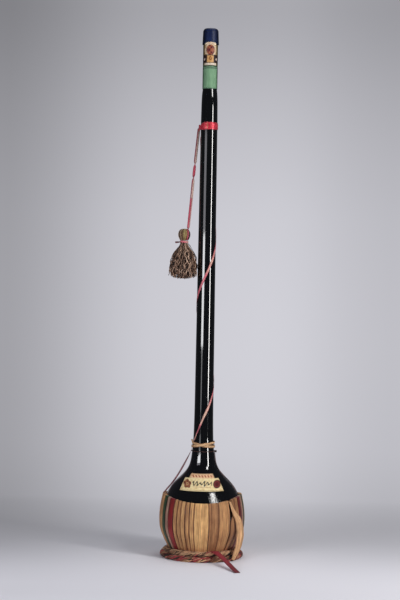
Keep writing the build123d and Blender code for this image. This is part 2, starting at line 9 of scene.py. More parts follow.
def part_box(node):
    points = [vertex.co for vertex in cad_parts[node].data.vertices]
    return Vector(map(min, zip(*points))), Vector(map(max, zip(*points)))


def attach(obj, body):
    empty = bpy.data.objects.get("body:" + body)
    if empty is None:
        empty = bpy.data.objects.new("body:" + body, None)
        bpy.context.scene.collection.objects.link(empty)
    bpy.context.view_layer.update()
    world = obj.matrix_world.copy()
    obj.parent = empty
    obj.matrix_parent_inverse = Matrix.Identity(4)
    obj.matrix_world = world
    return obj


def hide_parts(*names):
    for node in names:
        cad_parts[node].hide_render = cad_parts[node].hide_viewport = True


# A very tall straw-covered wine flask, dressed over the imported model. +Z is up and -Y is the front.
# Sizes in the dictionaries are in millimetres and degrees unless a note says otherwise; Blender has metres.
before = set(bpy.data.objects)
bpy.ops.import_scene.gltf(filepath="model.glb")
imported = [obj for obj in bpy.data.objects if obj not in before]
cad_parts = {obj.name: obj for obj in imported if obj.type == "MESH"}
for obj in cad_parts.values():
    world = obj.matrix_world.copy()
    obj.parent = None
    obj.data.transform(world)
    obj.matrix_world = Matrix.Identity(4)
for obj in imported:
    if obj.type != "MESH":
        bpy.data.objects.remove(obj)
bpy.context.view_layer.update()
mm = 0.001
flaskBody, ribbonBody, tasselBody = "flask", "hanging_ribbon", "tassel"
upward = Vector((0, 0, 1))
print("frame loaded:", len(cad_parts), "nodes")


# Camera: a long lens a little above the middle of the neck, as the photograph was taken. Places are in metres,
# angles in degrees, and the lens and the sensor in millimetres.
view = {"distance": 3.25, "height": 0.600, "lens": 88.6, "sensor": 36, "farClip": 50,
        "pitchDown": 0.65, "yawLeft": 0.23, "roll": 1.06}


def addObject(name, data):
    made = bpy.data.objects.new(name, data)
    bpy.context.collection.objects.link(made)
    return made


def addCamera():
    data = bpy.data.cameras.new("camera")
    data.sensor_fit, data.sensor_height = "VERTICAL", view["sensor"]
    data.lens, data.clip_end = view["lens"], view["farClip"]
    stand = Matrix.Translation((0, -view["distance"], view["height"]))
    for angle, axis in ((view["yawLeft"], "Z"), (90 - view["pitchDown"], "X"), (view["roll"], "Z")):
        stand = stand @ Matrix.Rotation(radians(angle), 4, axis)
    camera = addObject("camera", data)
    camera.matrix_world = stand
    bpy.context.scene.camera = camera


addCamera()
print("camera placed")


# Points, curves and meshes that the pieces share
def clamp(value, low=0, high=1):
    return min(max(value, low), high)


def eased(share):
    return share * share * (3 - 2 * share)


def read(value, *place):
    # a setting is a number, or a rule that gives one for each place
    return value(*place) if callable(value) else value


def at(radius, angle, level, centre=(0, 0)):
    turn = radians(angle)
    return Vector((centre[0] + radius * cos(turn), centre[1] + radius * sin(turn), level))


def metres(points):
    return [Vector(point) * mm for point in points]


def uneven(columns, size):
    return [random.uniform(-1, 1) * size for _ in range(columns + 1)]


def between(table, value):
    # straight reading of a table of (place, result)
    rows = sorted(table)
    for (low, first), (high, second) in zip(rows, rows[1:]):
        if value <= high:
            return first + (second - first) * max(value - low, 0) / (high - low)
    return rows[-1][1]


def through(points, steps):
    # a smooth course through points: steps to a span
    course, last = [], len(points) - 1
    for index in range(last):
        a, b, c, d = (points[clamp(index + shift, 0, last)] for shift in (-1, 0, 1, 2))
        for step in range(steps):
            t = step / steps
            course.append(b + (c - a) * (t / 2) + (a * 2 - b * 5 + c * 4 - d) * (t * t / 2)
                          + (b * 3 - a - c * 3 + d) * (t * t * t / 2))
    return course + [points[-1].copy()]


def travelled(course):
    # length of the course up to each of its points
    lengths = [0.0]
    for a, b in zip(course, course[1:]):
        lengths.append(lengths[-1] + (b - a).length)
    return lengths


def evenly(course, count):
    # the same course in steps of one length
    lengths = travelled(course)
    found, index = [], 0
    for step in range(count + 1):
        target = lengths[-1] * step / count
        while index < len(course) - 2 and lengths[index + 1] < target:
            index += 1
        span = lengths[index + 1] - lengths[index] or 1
        found.append(course[index].lerp(course[index + 1], (target - lengths[index]) / span))
    return found


def ways(course):
    # direction of the course at each of its points
    last = len(course) - 1
    return [(course[min(i + 1, last)] - course[max(i - 1, 0)]).normalized() for i in range(last + 1)]


def facing(way, out):
    # side and up of a cross-section that looks along out
    side = way.cross(out).normalized()
    return side, side.cross(way).normalized()


def overAndUnder(columns):
    # places from 0 to 1 across the face of a sheet (1), and back under it (0)
    for face in (1, 0):
        for i in range(columns + 1):
            yield face, i / columns if face else 1 - i / columns


def roundRing(centre, side, up, radius, count, squash=1.0):
    turns = [2 * pi * i / count for i in range(count)]
    return [centre + side * (radius * mm * cos(turn)) + up * (radius * mm * squash * sin(turn))
            for turn in turns]


def ribbonRing(centre, side, up, width, thickness, columns=6, bow=0.0, ridges=None):
    # cross-section of a flat strip with thin edges
    ring = []
    for face, place in overAndUnder(columns):
        share = place * 2 - 1
        lift = thickness * (face - 0.5) * (1 - abs(share) ** 6 * 0.55) - bow * share * share
        if ridges:
            lift += ridges[round(place * columns)]
        ring.append(centre + side * (width / 2 * share * mm) + up * (lift * mm))
    return ring


def strip(places, outs, width, thickness, columns=6, bow=0.0, ridges=None):
    # a flat strip along places whose face looks along outs
    return [ribbonRing(place, *facing(way, out), read(width, row), thickness, columns, read(bow, row), ridges)
            for row, (place, way, out) in enumerate(zip(places, ways(places), outs))]


def knotted(course, centre, radius, count, squash=1.0):
    # a round or flattened strand along course, turned away from centre
    return [roundRing(point, *facing(way, point - centre), radius, count, squash)
            for point, way in zip(course, ways(course))]


class Skin:
    # gathers tubes into one mesh, with a map in millimetres and a tone for each face
    def __init__(self):
        self.points, self.faces, self.maps, self.tones = [], [], [], []

    def addFace(self, corners, places, tone):
        self.faces.append(corners)
        self.maps += [value for place in places for value in place]
        self.tones.append(tone)

    def tube(self, rings, tone=0.5, offset=0.0, closed=False):
        start, count = len(self.points), len(rings[0])
        around, along = [offset], [0.0]
        for i in range(count):
            around.append(around[-1] + (rings[0][(i + 1) % count] - rings[0][i]).length / mm)
        for a, b in zip(rings, rings[1:] + rings[:1]):
            along.append(along[-1] + (b[0] - a[0]).length / mm)
        for ring in rings:
            self.points += ring
        spans = len(rings) if closed else len(rings) - 1
        for j in range(spans):
            low, high = start + j * count, start + (j + 1) % len(rings) * count
            for i in range(count):
                n = (i + 1) % count
                places = [(around[i], along[j]), (around[i + 1], along[j]),
                          (around[i + 1], along[j + 1]), (around[i], along[j + 1])]
                self.addFace((low + i, low + n, high + n, high + i), places, read(tone, j, i))
        if not closed:
            for j, order in ((0, -1), (spans, 1)):
                corners = [start + j * count + i for i in range(count)][::order]
                places = [(around[i], along[j]) for i in range(count)]
                self.addFace(corners, places, read(tone, min(j, spans - 1), 0))
        return self

    def piece(self, name, material, body, slotName, nodeName, sharp=None):
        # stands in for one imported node
        mesh = bpy.data.meshes.new(name)
        mesh.from_pydata(self.points, [], self.faces)
        mesh.uv_layers.new(name="map").data.foreach_set("uv", self.maps)
        mesh.attributes.new("tone", "FLOAT", "FACE").data.foreach_set("value", self.tones)
        mesh.polygons.foreach_set("use_smooth", [True] * len(self.faces))
        mesh.update()
        made = addObject(name, mesh)
        if sharp:
            mesh.set_sharp_from_angle(angle=radians(sharp))
        mesh.materials.append(material)
        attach(made, body)
        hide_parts(nodeName)
        return made


def routeSpline(name, points):
    # a cord's own line: one open NURBS spline with the route's points as its control points
    data = bpy.data.curves.new(name, "CURVE")
    data.dimensions = "3D"
    data.resolution_u = 24
    spline = data.splines.new("NURBS")
    spline.points.add(len(points) - 1)
    for target, point in zip(spline.points, points):
        target.co = (*point, 1)
    spline.order_u = 3
    spline.use_endpoint_u = True
    line = addObject(name, data)
    bpy.context.view_layer.update()
    mesh = bpy.data.meshes.new_from_object(line)
    course = [vertex.co.copy() for vertex in mesh.vertices]
    bpy.data.objects.remove(line)
    bpy.data.meshes.remove(mesh)
    return course


# Finishes: materials whose nodes are written as plain sums of values
def full(colour):
    # a colour or a plain grey, with its alpha
    return (*colour, 1) if isinstance(colour, tuple) else (colour, colour, colour, 1)


class Value:
    def __init__(self, finish, socket):
        self.finish, self.socket = finish, socket

    def calc(self, operation, other=0.0):
        return self.finish.node("Math", {0: self, 1: other}, operation=operation)

    def __add__(self, other):
        return self.calc("ADD", other)

    def __sub__(self, other):
        return self.calc("SUBTRACT", other)

    def __mul__(self, other):
        return self.calc("MULTIPLY", other)

    def __truediv__(self, other):
        return self.calc("DIVIDE", other)

    def __abs__(self):
        return self.calc("ABSOLUTE")

    def share(self, low, high, first=0.0, last=1.0):
        # goes from first to last between two places
        return self.finish.node("MapRange", {"Value": self, "From Min": low, "From Max": high,
                                             "To Min": first, "To Max": last})

    def band(self, low, high, soft):
        # 1 between two places, 0 outside
        return self.share(low - soft, low + soft) * self.share(high - soft, high + soft, 1.0, 0.0)


class Finish:
    # one material, whose colour is laid on in coats
    def __init__(self, name, roughness, specular, metallic=0.0, sheen=0.0):
        self.material = bpy.data.materials.new(name)
        self.material.use_nodes = True
        self.tree = self.material.node_tree
        self.shader = self.tree.nodes["Principled BSDF"]
        for key, value in (("Roughness", roughness), ("Specular IOR Level", specular), ("Metallic", metallic),
                           ("Sheen Weight", sheen)):
            self.shader.inputs[key].default_value = value
        self.colour = None

    def node(self, kind, inputs=None, output=0, **settings):
        made = self.tree.nodes.new("ShaderNode" + kind)
        for key, value in settings.items():
            setattr(made, key, value)
        for key, value in (inputs or {}).items():
            if isinstance(value, Value):
                self.tree.links.new(value.socket, made.inputs[key])
            else:
                made.inputs[key].default_value = value
        return Value(self, made.outputs[output])

    def connect(self, value, key):
        self.tree.links.new(value.socket, self.shader.inputs[key])

    def stretched(self, scale):
        # two scales stretch the piece's own map, three the object's place in metres
        source = self.node("UVMap", uv_map="map") if len(scale) == 2 else self.node("TexCoord", output="Object")
        return self.node("Mapping", {"Vector": source, "Scale": (*scale, 1)[:3]})

    def places(self):
        # x, y and z of the object, in metres
        parts = self.node("SeparateXYZ", {0: self.node("TexCoord", output="Object")}).socket.node
        return [Value(self, socket) for socket in parts.outputs]

    def noise(self, scale, detail=3.0, roughness=0.55):
        return self.node("TexNoise", {"Vector": self.stretched(scale), "Scale": 1.0, "Detail": detail,
                                      "Roughness": roughness}, noise_dimensions="3D")

    def ramp(self, source, *stops):
        made = self.node("ValToRGB", {"Fac": source})
        elements = made.socket.node.color_ramp.elements
        while len(elements) < len(stops):
            elements.new(0.5)
        for element, (place, colour) in zip(elements, stops):
            element.position, element.color = place, full(colour)
        return made

    def toned(self, *stops):
        # the colour goes by the tone that each face has
        self.colour = self.ramp(self.node("Attribute", output="Fac", attribute_name="tone"), *stops)

    def mixed(self, factor, first, second, blend="MIX"):
        first, second = (value if isinstance(value, Value) else full(value) for value in (first, second))
        return self.node("MixRGB", {"Fac": factor, "Color1": first, "Color2": second}, blend_type=blend)

    def over(self, mask, colour):
        self.colour = self.mixed(mask, self.colour, colour)

    def times(self, factor, colour):
        self.colour = self.mixed(factor, self.colour, colour, "MULTIPLY")

    def done(self, height=None, distance=0.0, strength=1.0):
        # joins the colour, and height as a fine relief; distance in metres
        if self.colour:
            self.connect(self.colour, "Base Color")
        if height:
            relief = self.node("Bump", {"Height": height, "Distance": distance, "Strength": strength})
            self.connect(relief, "Normal")
        return self.material


def frontAngle(x, y):
    # angle round the neck in degrees, 0 at the front
    return x.calc("ARCTAN2", y * -1.0) * 57.2958


def oval(across, level, centre, halfWidth, halfHeight):
    # 1 on the edge of an oval
    x, z = (across - centre[0]) / halfWidth, (level - centre[1]) / halfHeight
    return (x * x + z * z).calc("SQRT")


palette = {}


def straw(name, *tones, stain=None, streak=1.6, gloss=0.62, depth=0.7):
    # dried straw: fine lengthwise fibres, uneven colour from blade to blade, stained near the floor
    paint = Finish(name, gloss, 0.35, sheen=0.08)
    fibres = paint.noise((streak, 0.018), roughness=0.6)
    patches = paint.noise((0.16, 0.035), detail=2.0)
    lines = paint.noise((streak * 3.2, 0.012), detail=2.0, roughness=0.7)
    paint.toned(*tones)
    paint.times(1.0, paint.ramp(fibres, (0.30, 0.40), (0.5, 0.96), (0.70, 1.36)))
    paint.times(0.8, paint.ramp(patches, (0.3, (0.70, 0.56, 0.50)), (0.62, (1.10, 1.06, 1.0))))
    paint.times(depth, paint.ramp(lines, (0.37, (0.38, 0.24, 0.19)), (0.46, 1.0)))
    if stain:
        level = paint.places()[2] - (paint.noise((60, 60, 40)) * 0.050 - 0.012)
        paint.over(level.share(0.0, 0.022, 0.7, 0.0), stain)
    palette[name] = paint.done(fibres * 0.7 + lines * 0.3, 0.0006, 0.7)


def satin(name, back, face, deep, gloss=0.34, ribs=2.6, sheen=0.25, metal=0.0):
    # ribbon: fine ribs across it; its tone goes from the pale back through the face to the dark folds
    paint = Finish(name, gloss, 0.5, metal, sheen)
    weave = paint.noise((0.5, ribs), detail=2.0)
    folds = paint.noise((0.35, 0.06), detail=2.0)
    paint.toned((0.0, back), (0.5, face), (1.0, deep))
    paint.times(0.6, paint.ramp(weave, (0.35, 0.76), (0.65, 1.12)))
    paint.times(0.6, paint.ramp(folds, (0.32, 0.64), (0.66, 1.3)))
    palette[name] = paint.done(weave * 0.4 + folds * 0.5, 0.0003, 0.35)


straw("straw", (0.0, (0.25, 0.110, 0.050)), (0.5, (0.53, 0.285, 0.120)), (1.0, (0.76, 0.475, 0.205)),
      stain=(0.36, 0.105, 0.055))
straw("red_straw", (0.0, (0.08, 0.005, 0.006)), (1.0, (0.46, 0.016, 0.018)), gloss=0.5)
straw("white_straw", (0.0, (0.24, 0.11, 0.08)), (1.0, (0.66, 0.44, 0.33)))
straw("green_straw", (0.0, (0.008, 0.022, 0.008)), (1.0, (0.055, 0.13, 0.040)), gloss=0.5)
straw("rope_straw", (0.0, (0.022, 0.009, 0.007)), (0.45, (0.30, 0.150, 0.075)), (0.85, (0.70, 0.455, 0.270)),
      (1.0, (0.46, 0.055, 0.070)), streak=1.1, depth=0.8)
straw("tassel_straw", (0.0, (0.030, 0.016, 0.012)), (0.45, (0.22, 0.125, 0.082)), (1.0, (0.72, 0.52, 0.40)),
      streak=2.4, gloss=0.55)
straw("head_straw", (0.0, (0.05, 0.025, 0.020)), (0.35, (0.28, 0.150, 0.070)), (0.65, (0.36, 0.300, 0.115)),
      (1.0, (0.62, 0.48, 0.36)), streak=1.0)
straw("raffia", (0.0, (0.22, 0.110, 0.055)), (1.0, (0.82, 0.56, 0.31)), streak=1.3)
straw("loose_straw", (0.0, (0.40, 0.205, 0.100)), (1.0, (0.82, 0.52, 0.27)), streak=0.9)
satin("red_satin", (0.46, 0.22, 0.12), (0.66, 0.022, 0.055), (0.22, 0.008, 0.020), gloss=0.30, metal=0.25)
satin("pink_satin", (0.70, 0.47, 0.34), (0.66, 0.130, 0.175), (0.100, 0.009, 0.014), gloss=0.42)
satin("red_weave", (0.36, 0.012, 0.030), (0.22, 0.007, 0.020), (0.055, 0.004, 0.010), gloss=0.72, ribs=0.9,
      sheen=0.03)
satin("hanging_satin", (0.46, 0.35, 0.29), (0.50, 0.055, 0.095), (0.14, 0.010, 0.030), gloss=0.46)
straw("dark_cord", (0.0, (0.012, 0.005, 0.005)), (1.0, (0.10, 0.032, 0.024)), streak=3.0)
straw("shoulder_straw", (0.0, (0.018, 0.008, 0.008)), (1.0, (0.13, 0.050, 0.038)), streak=3.0)
print("straw and ribbon materials ready")


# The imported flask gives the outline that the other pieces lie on
glassTree = BVHTree.FromObject(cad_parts["glass_flask"], bpy.context.evaluated_depsgraph_get())
outside = 0.5  # metres: a reading starts this far from the axis


def glassRadius(level, angle=0):
    return glassTree.ray_cast(at(outside, angle, level), at(-1, angle, 0))[0].xy.length


def glassSlope(level):
    # how much the radius grows for each metre up
    return (glassRadius(level + mm) - glassRadius(level - mm)) / (2 * mm)


# Free ribbons, first of the pieces
hangingRibbon = {
    "points": [(-22.3, 0, 939.2), (-27.6, 0, 884.0), (-31.8, 0, 838.0), (-36.6, 0, 778.0), (-41.6, 0, 721.4)],
    "width": 5.2, "drawn": 6.1, "thickness": 1.9, "bow": 0.25, "steps": 130,
    "twist": [(940, 62), (925, 80), (880, 86), (868, 96), (861, 180), (854, 262), (838, 282), (831, 360),
              (824, 436), (806, 448), (792, 462), (780, 452), (745, 440), (721, 424)],
    # tones of the front's six columns above and below one level, and of the back above and below another
    "pinkBelow": 787, "upperTones": (0.85, 0.85, 0.06, 0.06, 0.06, 0.06),
    "lowerTones": (0.55, 0.55, 0.55, 0.95, 0.2, 0.2), "backChange": 800, "backTones": (0.62, 0.55),
}
redTail = {
    "points": [(28.30, -73.20, 22.75), (37.54, -96.43, 21.10), (48.08, -122.91, 16.40), (61.95, -157.75, 7.80),
               (75.85, -192.69, 0.80)],
    "width": 12.5, "startWidth": 17.4, "endWidth": 12.6, "thickness": 0.7, "steps": 90, "bow": 0.35,
    "direction": -68.3, "seed": 5, "rootTone": 0.12, "toneRise": 0.62, "edgeTone": 0.3,
}


def addHangingRibbon():
    course = evenly(routeSpline("hanging_route", metres(hangingRibbon["points"])), hangingRibbon["steps"])
    rings = []
    for point, way in zip(course, ways(course)):
        turn = radians(between(hangingRibbon["twist"], point.z / mm))
        side = Vector((0, 1, 0))
        up = way.cross(side).normalized()
        side, up = side * cos(turn) + up * sin(turn), up * cos(turn) - side * sin(turn)
        rings.append(ribbonRing(point, side, up, hangingRibbon["drawn"], hangingRibbon["thickness"],
                                bow=hangingRibbon["bow"]))

    def stripTone(row, column):
        level, face = course[row].z / mm, hangingRibbon["upperTones"]
        if column >= len(face):
            upper, lower = hangingRibbon["backTones"]
            return upper if level > hangingRibbon["backChange"] else lower
        return (face if level > hangingRibbon["pinkBelow"] else hangingRibbon["lowerTones"])[column]

    length = travelled(course)[-1]
    piece = Skin().tube(rings, stripTone).piece("hanging_ribbon_strip", palette["hanging_satin"], ribbonBody,
                                                "pink_ribbon", "hanging_ribbon")
    print("hanging ribbon", round(length, 4), "m")


def addRedTail():
    course = evenly(routeSpline("tail_route", metres(redTail["points"])), redTail["steps"])
    side = at(1, redTail["direction"] + 90, 0)
    random.seed(redTail["seed"])
    rings = []
    for row, (point, way) in enumerate(zip(course, ways(course))):
        share = row / redTail["steps"]
        width = redTail["width"] + (redTail["startWidth"] - redTail["width"]) * max(0, 1 - share * 2.4)
        width += (redTail["endWidth"] - redTail["width"]) * clamp(share * 2 - 0.5)
        up = side.cross(way).normalized()
        wave = 0.12 * sin(row * 0.9) + 0.1 * random.uniform(-1, 1)
        rings.append(ribbonRing(point, side, up if up.z > 0 else -up, width, redTail["thickness"], 8,
                                redTail["bow"] * (1 - share) - 0.15 * wave))

    def tailTone(row, column):
        tone = redTail["rootTone"] + redTail["toneRise"] * row / redTail["steps"]
        edge = redTail["edgeTone"] if column in (0, 7) else 0
        return min(tone + edge + 0.14 * sin(row * 1.4 + column * 1.1), 1)

    length = travelled(course)[-1]
    piece = Skin().tube(rings, tailTone).piece("red_ribbon_end", palette["red_weave"], flaskBody, "red_satin",
                                               "red_ribbon_tail")
    print("red ribbon end", round(length, 4), "m")


addHangingRibbon()
addRedTail()


# Straw cover: upright blades folded in over the rim
basket = {
    "radius": 93.9, "height": 132.4, "thickness": 1.2, "gap": 0.5, "firstAngle": -157.5, "fold": 2.6,
    "rimWave": 5.75, "clear": 0.8, "spread": 4.2,
    "shares": [(0.500, 0.026), (0.630, 0.026), (0.712, 0.055), (0.762, 0.108), (0.797, 0.166), (0.858, 0.249),
               (0.915, 0.340), (0.962, 0.421), (0.990, 0.505), (1.000, 0.600), (0.999, 0.690), (0.988, 0.780),
               (0.966, 0.870), (0.942, 0.945), (0.922, 1.000)],
    # kind, width in degrees, tone from dark to light
    "blades": [
        ("green", 8.5, 0.4), ("white", 7.0, 0.45), ("red", 10.0, 0.5), ("narrow", 6.2, 0.55), ("narrow", 5.8, 0.42),
        ("narrow", 6.6, 0.62), ("narrow", 6.4, 0.45), ("narrow", 6.3, 0.6), ("broad", 20.2, 0.92),
        ("broad", 13.8, 0.20), ("broad", 17.6, 0.42), ("open", 5.0, 0), ("narrow", 6.6, 0.12), ("narrow", 7.6, 0.3),
        ("red", 9.0, 0.15), ("white", 7.0, 0.4), ("green", 8.0, 0.4), ("narrow", 9.6, 0.5), ("broad", 13.4, 0.65),
        ("narrow", 10.0, 0.4), ("narrow", 8.8, 0.55), ("broad", 14.0, 0.7), ("narrow", 9.2, 0.35),
        ("broad", 12.6, 0.6), ("narrow", 10.0, 0.5), ("narrow", 9.4, 0.3), ("red", 10.0, 0.5), ("white", 7.0, 0.5),
        ("green", 8.5, 0.5), ("narrow", 10.2, 0.6), ("broad", 12.6, 0.45), ("narrow", 8.4, 0.35),
        ("narrow", 9.6, 0.6), ("broad", 14.0, 0.75), ("narrow", 8.8, 0.5), ("broad", 12.8, 0.4),
        ("narrow", 9.5, 0.6),
    ],
    "steps": 3, "ridge": 0.16, "edgeDip": 0.5, "seed": 11,
    # the slit is closed below this share of the course, and above this level the blades keep off the glass
    "slitFoot": 0.76, "glassFrom": 110,
    # tones: how much darker the two edges (painted shade where the blades dip between each other) and the back are,
    # and how much single fibres differ
    "edgeShade": 0.4, "backTone": -0.3, "fibreTone": 0.16,
}


def rimShift(angle):
    # the rim hangs lower at the front and the back than at the sides
    return -basket["rimWave"] * cos(radians(2 * (angle + 90))) * mm


def addBlades():
    random.seed(basket["seed"])
    height, thickness, fold = (basket[key] * mm for key in ("height", "thickness", "fold"))
    foot, *upper = [Vector((r * basket["radius"] * mm, 0, z * height)) for r, z in basket["shares"]]
    course = [foot] + through(upper, basket["steps"])
    outwards = [Vector((way.z, 0, -way.x)) for way in ways(course)] + [Vector((0.35, 0, 0.94)), upward]
    course += [course[-1] + Vector((-fold * 0.35, 0, 0.5 * mm)), course[-1] + Vector((-fold, 0, -0.2 * mm))]
    last = len(course) - 1
    gap = degrees(basket["gap"] / basket["radius"])
    groups, angle, before = {}, basket["firstAngle"], ""
    for number, (kind, width, tone) in enumerate(basket["blades"]):
        if kind != "open":
            skin = groups.setdefault(kind, Skin())
            columns = max(5, round(width * 1.1))
            ridges = uneven(columns, basket["ridge"])
            swell = [(i / 4, random.uniform(-0.35, 0.2)) for i in range(5)]
            lean = random.uniform(-0.25, 0.25)
            rings = []
            for row, (point, outward) in enumerate(zip(course, outwards)):
                share = row / last
                trim = gap / 2 + 0.12 * (1 + sin(row * 0.7 + number * 2.1))
                low, high = angle + trim, angle + width - trim
                if before == "open":  # this blade spreads over the lower half of the slit
                    low -= basket["spread"] * eased(clamp((basket["slitFoot"] - share) * 7))
                bulge = between(swell, share) * 0.4
                ring = []
                for face, place in overAndUnder(columns):
                    column, edge = round(place * columns), abs(place * 2 - 1) ** 5
                    wave = ridges[column] * (0.6 + 0.4 * sin(share * 9 + column))
                    lift = (wave - edge * basket["edgeDip"] + bulge * (1 - edge)) * mm if face else -thickness
                    spot = point + outward * min(lift, 0.25 * mm)
                    turn = low + (high - low) * place + lean * sin(share * pi)
                    level, radius = spot.z + rimShift(turn) * (spot.z / height) ** 4, spot.x
                    if level > basket["glassFrom"] * mm:
                        inner = glassRadius(level) + basket["clear"] * mm
                        radius = max(radius, inner + thickness * face)
                    if row >= last - 1:  # the fold
                        radius = inner + (fold * 0.5 if row < last else 0)
                    ring.append(at(radius, turn, level))
                rings.append(ring)
            spread, back = basket["fibreTone"], [basket["backTone"]] * (columns + 2)
            fibreTones = [random.uniform(-spread, spread) for _ in range(columns)] + back

            def bladeTone(row, column):
                # darker along the two edges, as painted shade where the blades dip between each other, and darker on
                # the back
                return clamp(tone - (basket["edgeShade"] if column in (0, columns - 1) else 0) + fibreTones[column])

            skin.tube(rings, bladeTone, offset=number * 41.0)
        angle += width
        before = kind
    for kind in ("broad", "narrow", "red", "white", "green"):
        finish = "straw" if kind in ("broad", "narrow") else kind + "_straw"
        groups[kind].piece(kind + "_blades", palette[finish], flaskBody, finish, kind + "_straw_blades", sharp=55)


looseBlade = {
    # place, width and the direction that the face looks in
    "stations": [(60.5, -62.9, 129.0, 5.4, -46), (65.2, -67.0, 117.0, 7.0, -50), (71.5, -66.0, 104.0, 10.5, -55),
                 (78.5, -62.0, 91.0, 14.0, -60), (82.5, -60.5, 74.0, 16.5, -64), (83.5, -60.5, 56.0, 17.0, -65),
                 (81.0, -62.5, 37.0, 15.5, -62), (75.5, -65.0, 19.0, 12.5, -58), (69.0, -67.0, 3.5, 8.5, -52)],
    "thickness": 0.7, "steps": 5, "columns": 10, "ridge": 0.16, "seed": 23,
    "tones": {0: 0.15, 9: 0.15, 1: 0.45, 6: 0.45}, "plainTone": 0.85,
}


def addLooseBlade():
    random.seed(looseBlade["seed"])
    centres = through(metres(row[:3] for row in looseBlade["stations"]), looseBlade["steps"])
    widths = through([Vector((*row[3:], 0)) for row in looseBlade["stations"]], looseBlade["steps"])
    columns = looseBlade["columns"]
    rings = strip(centres, [at(1, width.y, 0) for width in widths],
                  lambda row: widths[row].x * (1 + 0.03 * sin(row * 1.3)), looseBlade["thickness"], columns,
                  lambda row: 0.5 + 0.3 * sin(row * 0.22), uneven(columns, looseBlade["ridge"]))
    skin = Skin()
    skin.tube(rings, lambda row, column: looseBlade["tones"].get(column, looseBlade["plainTone"]))
    skin.piece("sprung_blade", palette["loose_straw"], flaskBody, "straw", "loose_straw_blade", sharp=60)


addBlades()
addLooseBlade()
print("straw cover made")


# Rope ring: one straw rope of two turns, laid up from twisted bundles; its angles fall from start to end
rope = {
    "ringRadius": 91.0, "strandRadius": 5.9, "gap": 0.5, "inset": 6.1, "footCut": 0.5,
    "start": 841.0, "climbStart": 546.0, "climbEnd": 486.0, "end": 191.0,
    "bundles": 7, "pitch": 84.0, "bundleShare": 0.36, "step": 2.0, "seed": 31,
    "upperTones": (0.0, 0.28, 0.62, 0.80, 0.86), "lowerTones": (0.0, 0.04, 0.20, 0.42, 0.95),
    "fibres": 420, "fibreRadius": 1.05, "fibreTones": (0.0, 0.02, 0.3, 0.6, 0.8, 0.86),
    "lowerCrimson": 0.42, "upperCrimson": 0.08,
    "frayed": 34, "frayLength": 7.0, "frayRadius": 0.85, "frayTones": (0.05, 0.4, 0.7, 0.86, 0.86),
}


def ropeCentre(angle):
    low = rope["strandRadius"] - rope["footCut"]
    rise = sqrt((2 * rope["strandRadius"] + rope["gap"]) ** 2 - rope["inset"] ** 2)
    share = eased(clamp((rope["climbStart"] - angle) / (rope["climbStart"] - rope["climbEnd"])))
    return at(rope["ringRadius"] - rope["strandRadius"] - rope["inset"] * share, angle, low + rise * share) * mm


def onFloor(ring):
    # no straw goes through the floor
    return [Vector((p.x, p.y, max(p.z, 0.02 * mm))) for p in ring]


def addRope():
    random.seed(rope["seed"])
    count = round((rope["start"] - rope["end"]) / rope["step"])
    course = [ropeCentre(rope["start"] + (rope["end"] - rope["start"]) * i / count) for i in range(count + 1)]
    directions, lengths = ways(course), [length / mm for length in travelled(course)]
    radius = rope["strandRadius"]
    skin = Skin()

    def about(i, turn):
        # the two directions across the rope at one of its points, turned about it
        side, up = facing(directions[i], upward)
        return side * cos(turn) + up * sin(turn), up * cos(turn) - side * sin(turn)

    for bundle in range(rope["bundles"]):
        for tones, first, last in ((rope["lowerTones"], 0, count // 2), (rope["upperTones"], count // 2, count)):
            rings = []
            for i in range(first, last + 1):
                way = lengths[i]
                out, over = about(i, 2 * pi * (way / rope["pitch"] + bundle / rope["bundles"])
                                  + 0.35 * sin(way * 0.045 + bundle))
                lump = 0.15 * sin(way * 0.13 + bundle * 1.7) + 0.13 * sin(way * 0.41 + bundle)
                size = radius * rope["bundleShare"] * (1 + lump)
                centre = course[i] + out * ((radius - size * 0.98) * mm)
                rings.append(onFloor(roundRing(centre, out, over, size, 12, 1.15)))
            patches = [random.choice(tones) for _ in range(last - first + 2)]

            def bundleTone(row, column):
                # short patches, each of its own tone
                place = (row + bundle * 1.7 + column * 0.35) / 4.5
                return clamp(patches[int(place) % len(patches)] + 0.10 * sin(column * 2.1 + bundle))

            skin.tube(rings, bundleTone, offset=bundle * 53.0)
    for fibre in range(rope["fibres"]):  # loose straws that lie over the lay
        middle, span = random.randint(8, count - 8), random.randint(3, 6)
        phase, drift = random.uniform(0, 6.28), random.uniform(0.12, 0.42)
        rings = []
        for i in range(max(middle - span, 0), min(middle + span, count) + 1):
            out, over = about(i, phase + (i - middle) * drift)
            centre = course[i] + out * (radius * mm * (1.0 + 0.05 * cos((i - middle) * 0.5)))
            rings.append(onFloor(roundRing(centre, -over, out, rope["fibreRadius"], 5, 0.55)))
        crimson = random.random() < rope["lowerCrimson" if middle < count // 2 else "upperCrimson"]
        skin.tube(rings, 1.0 if crimson else random.choice(rope["fibreTones"]), offset=fibre * 17.0)
    for index in (0, count):  # frayed straws at the two cut ends
        way = directions[index] * (1 if index else -1)
        side, up = facing(way, upward)
        for fray in range(rope["frayed"]):
            turn, share = random.uniform(0, 6.28), sqrt(random.random()) * 0.86
            spread = side * cos(turn) + up * sin(turn)
            start = course[index] + spread * (radius * share * mm) - way * (4 * mm)
            reach = (4 + random.uniform(0.3, 1.0) * rope["frayLength"]) * mm
            lean = spread * (share * 0.35) + side * random.uniform(-0.12, 0.12)
            middles = [start + (way + lean * step) * (reach * step) for step in (0, 0.5, 1.0)]
            rings = [onFloor(roundRing(middle, side, up, rope["frayRadius"], 6, 0.8)) for middle in middles]
            skin.tube(rings, random.choice(rope["frayTones"]), offset=fray * 7.0)
    skin.piece("rope_ring", palette["rope_straw"], flaskBody, "straw_rope", "base_ring")


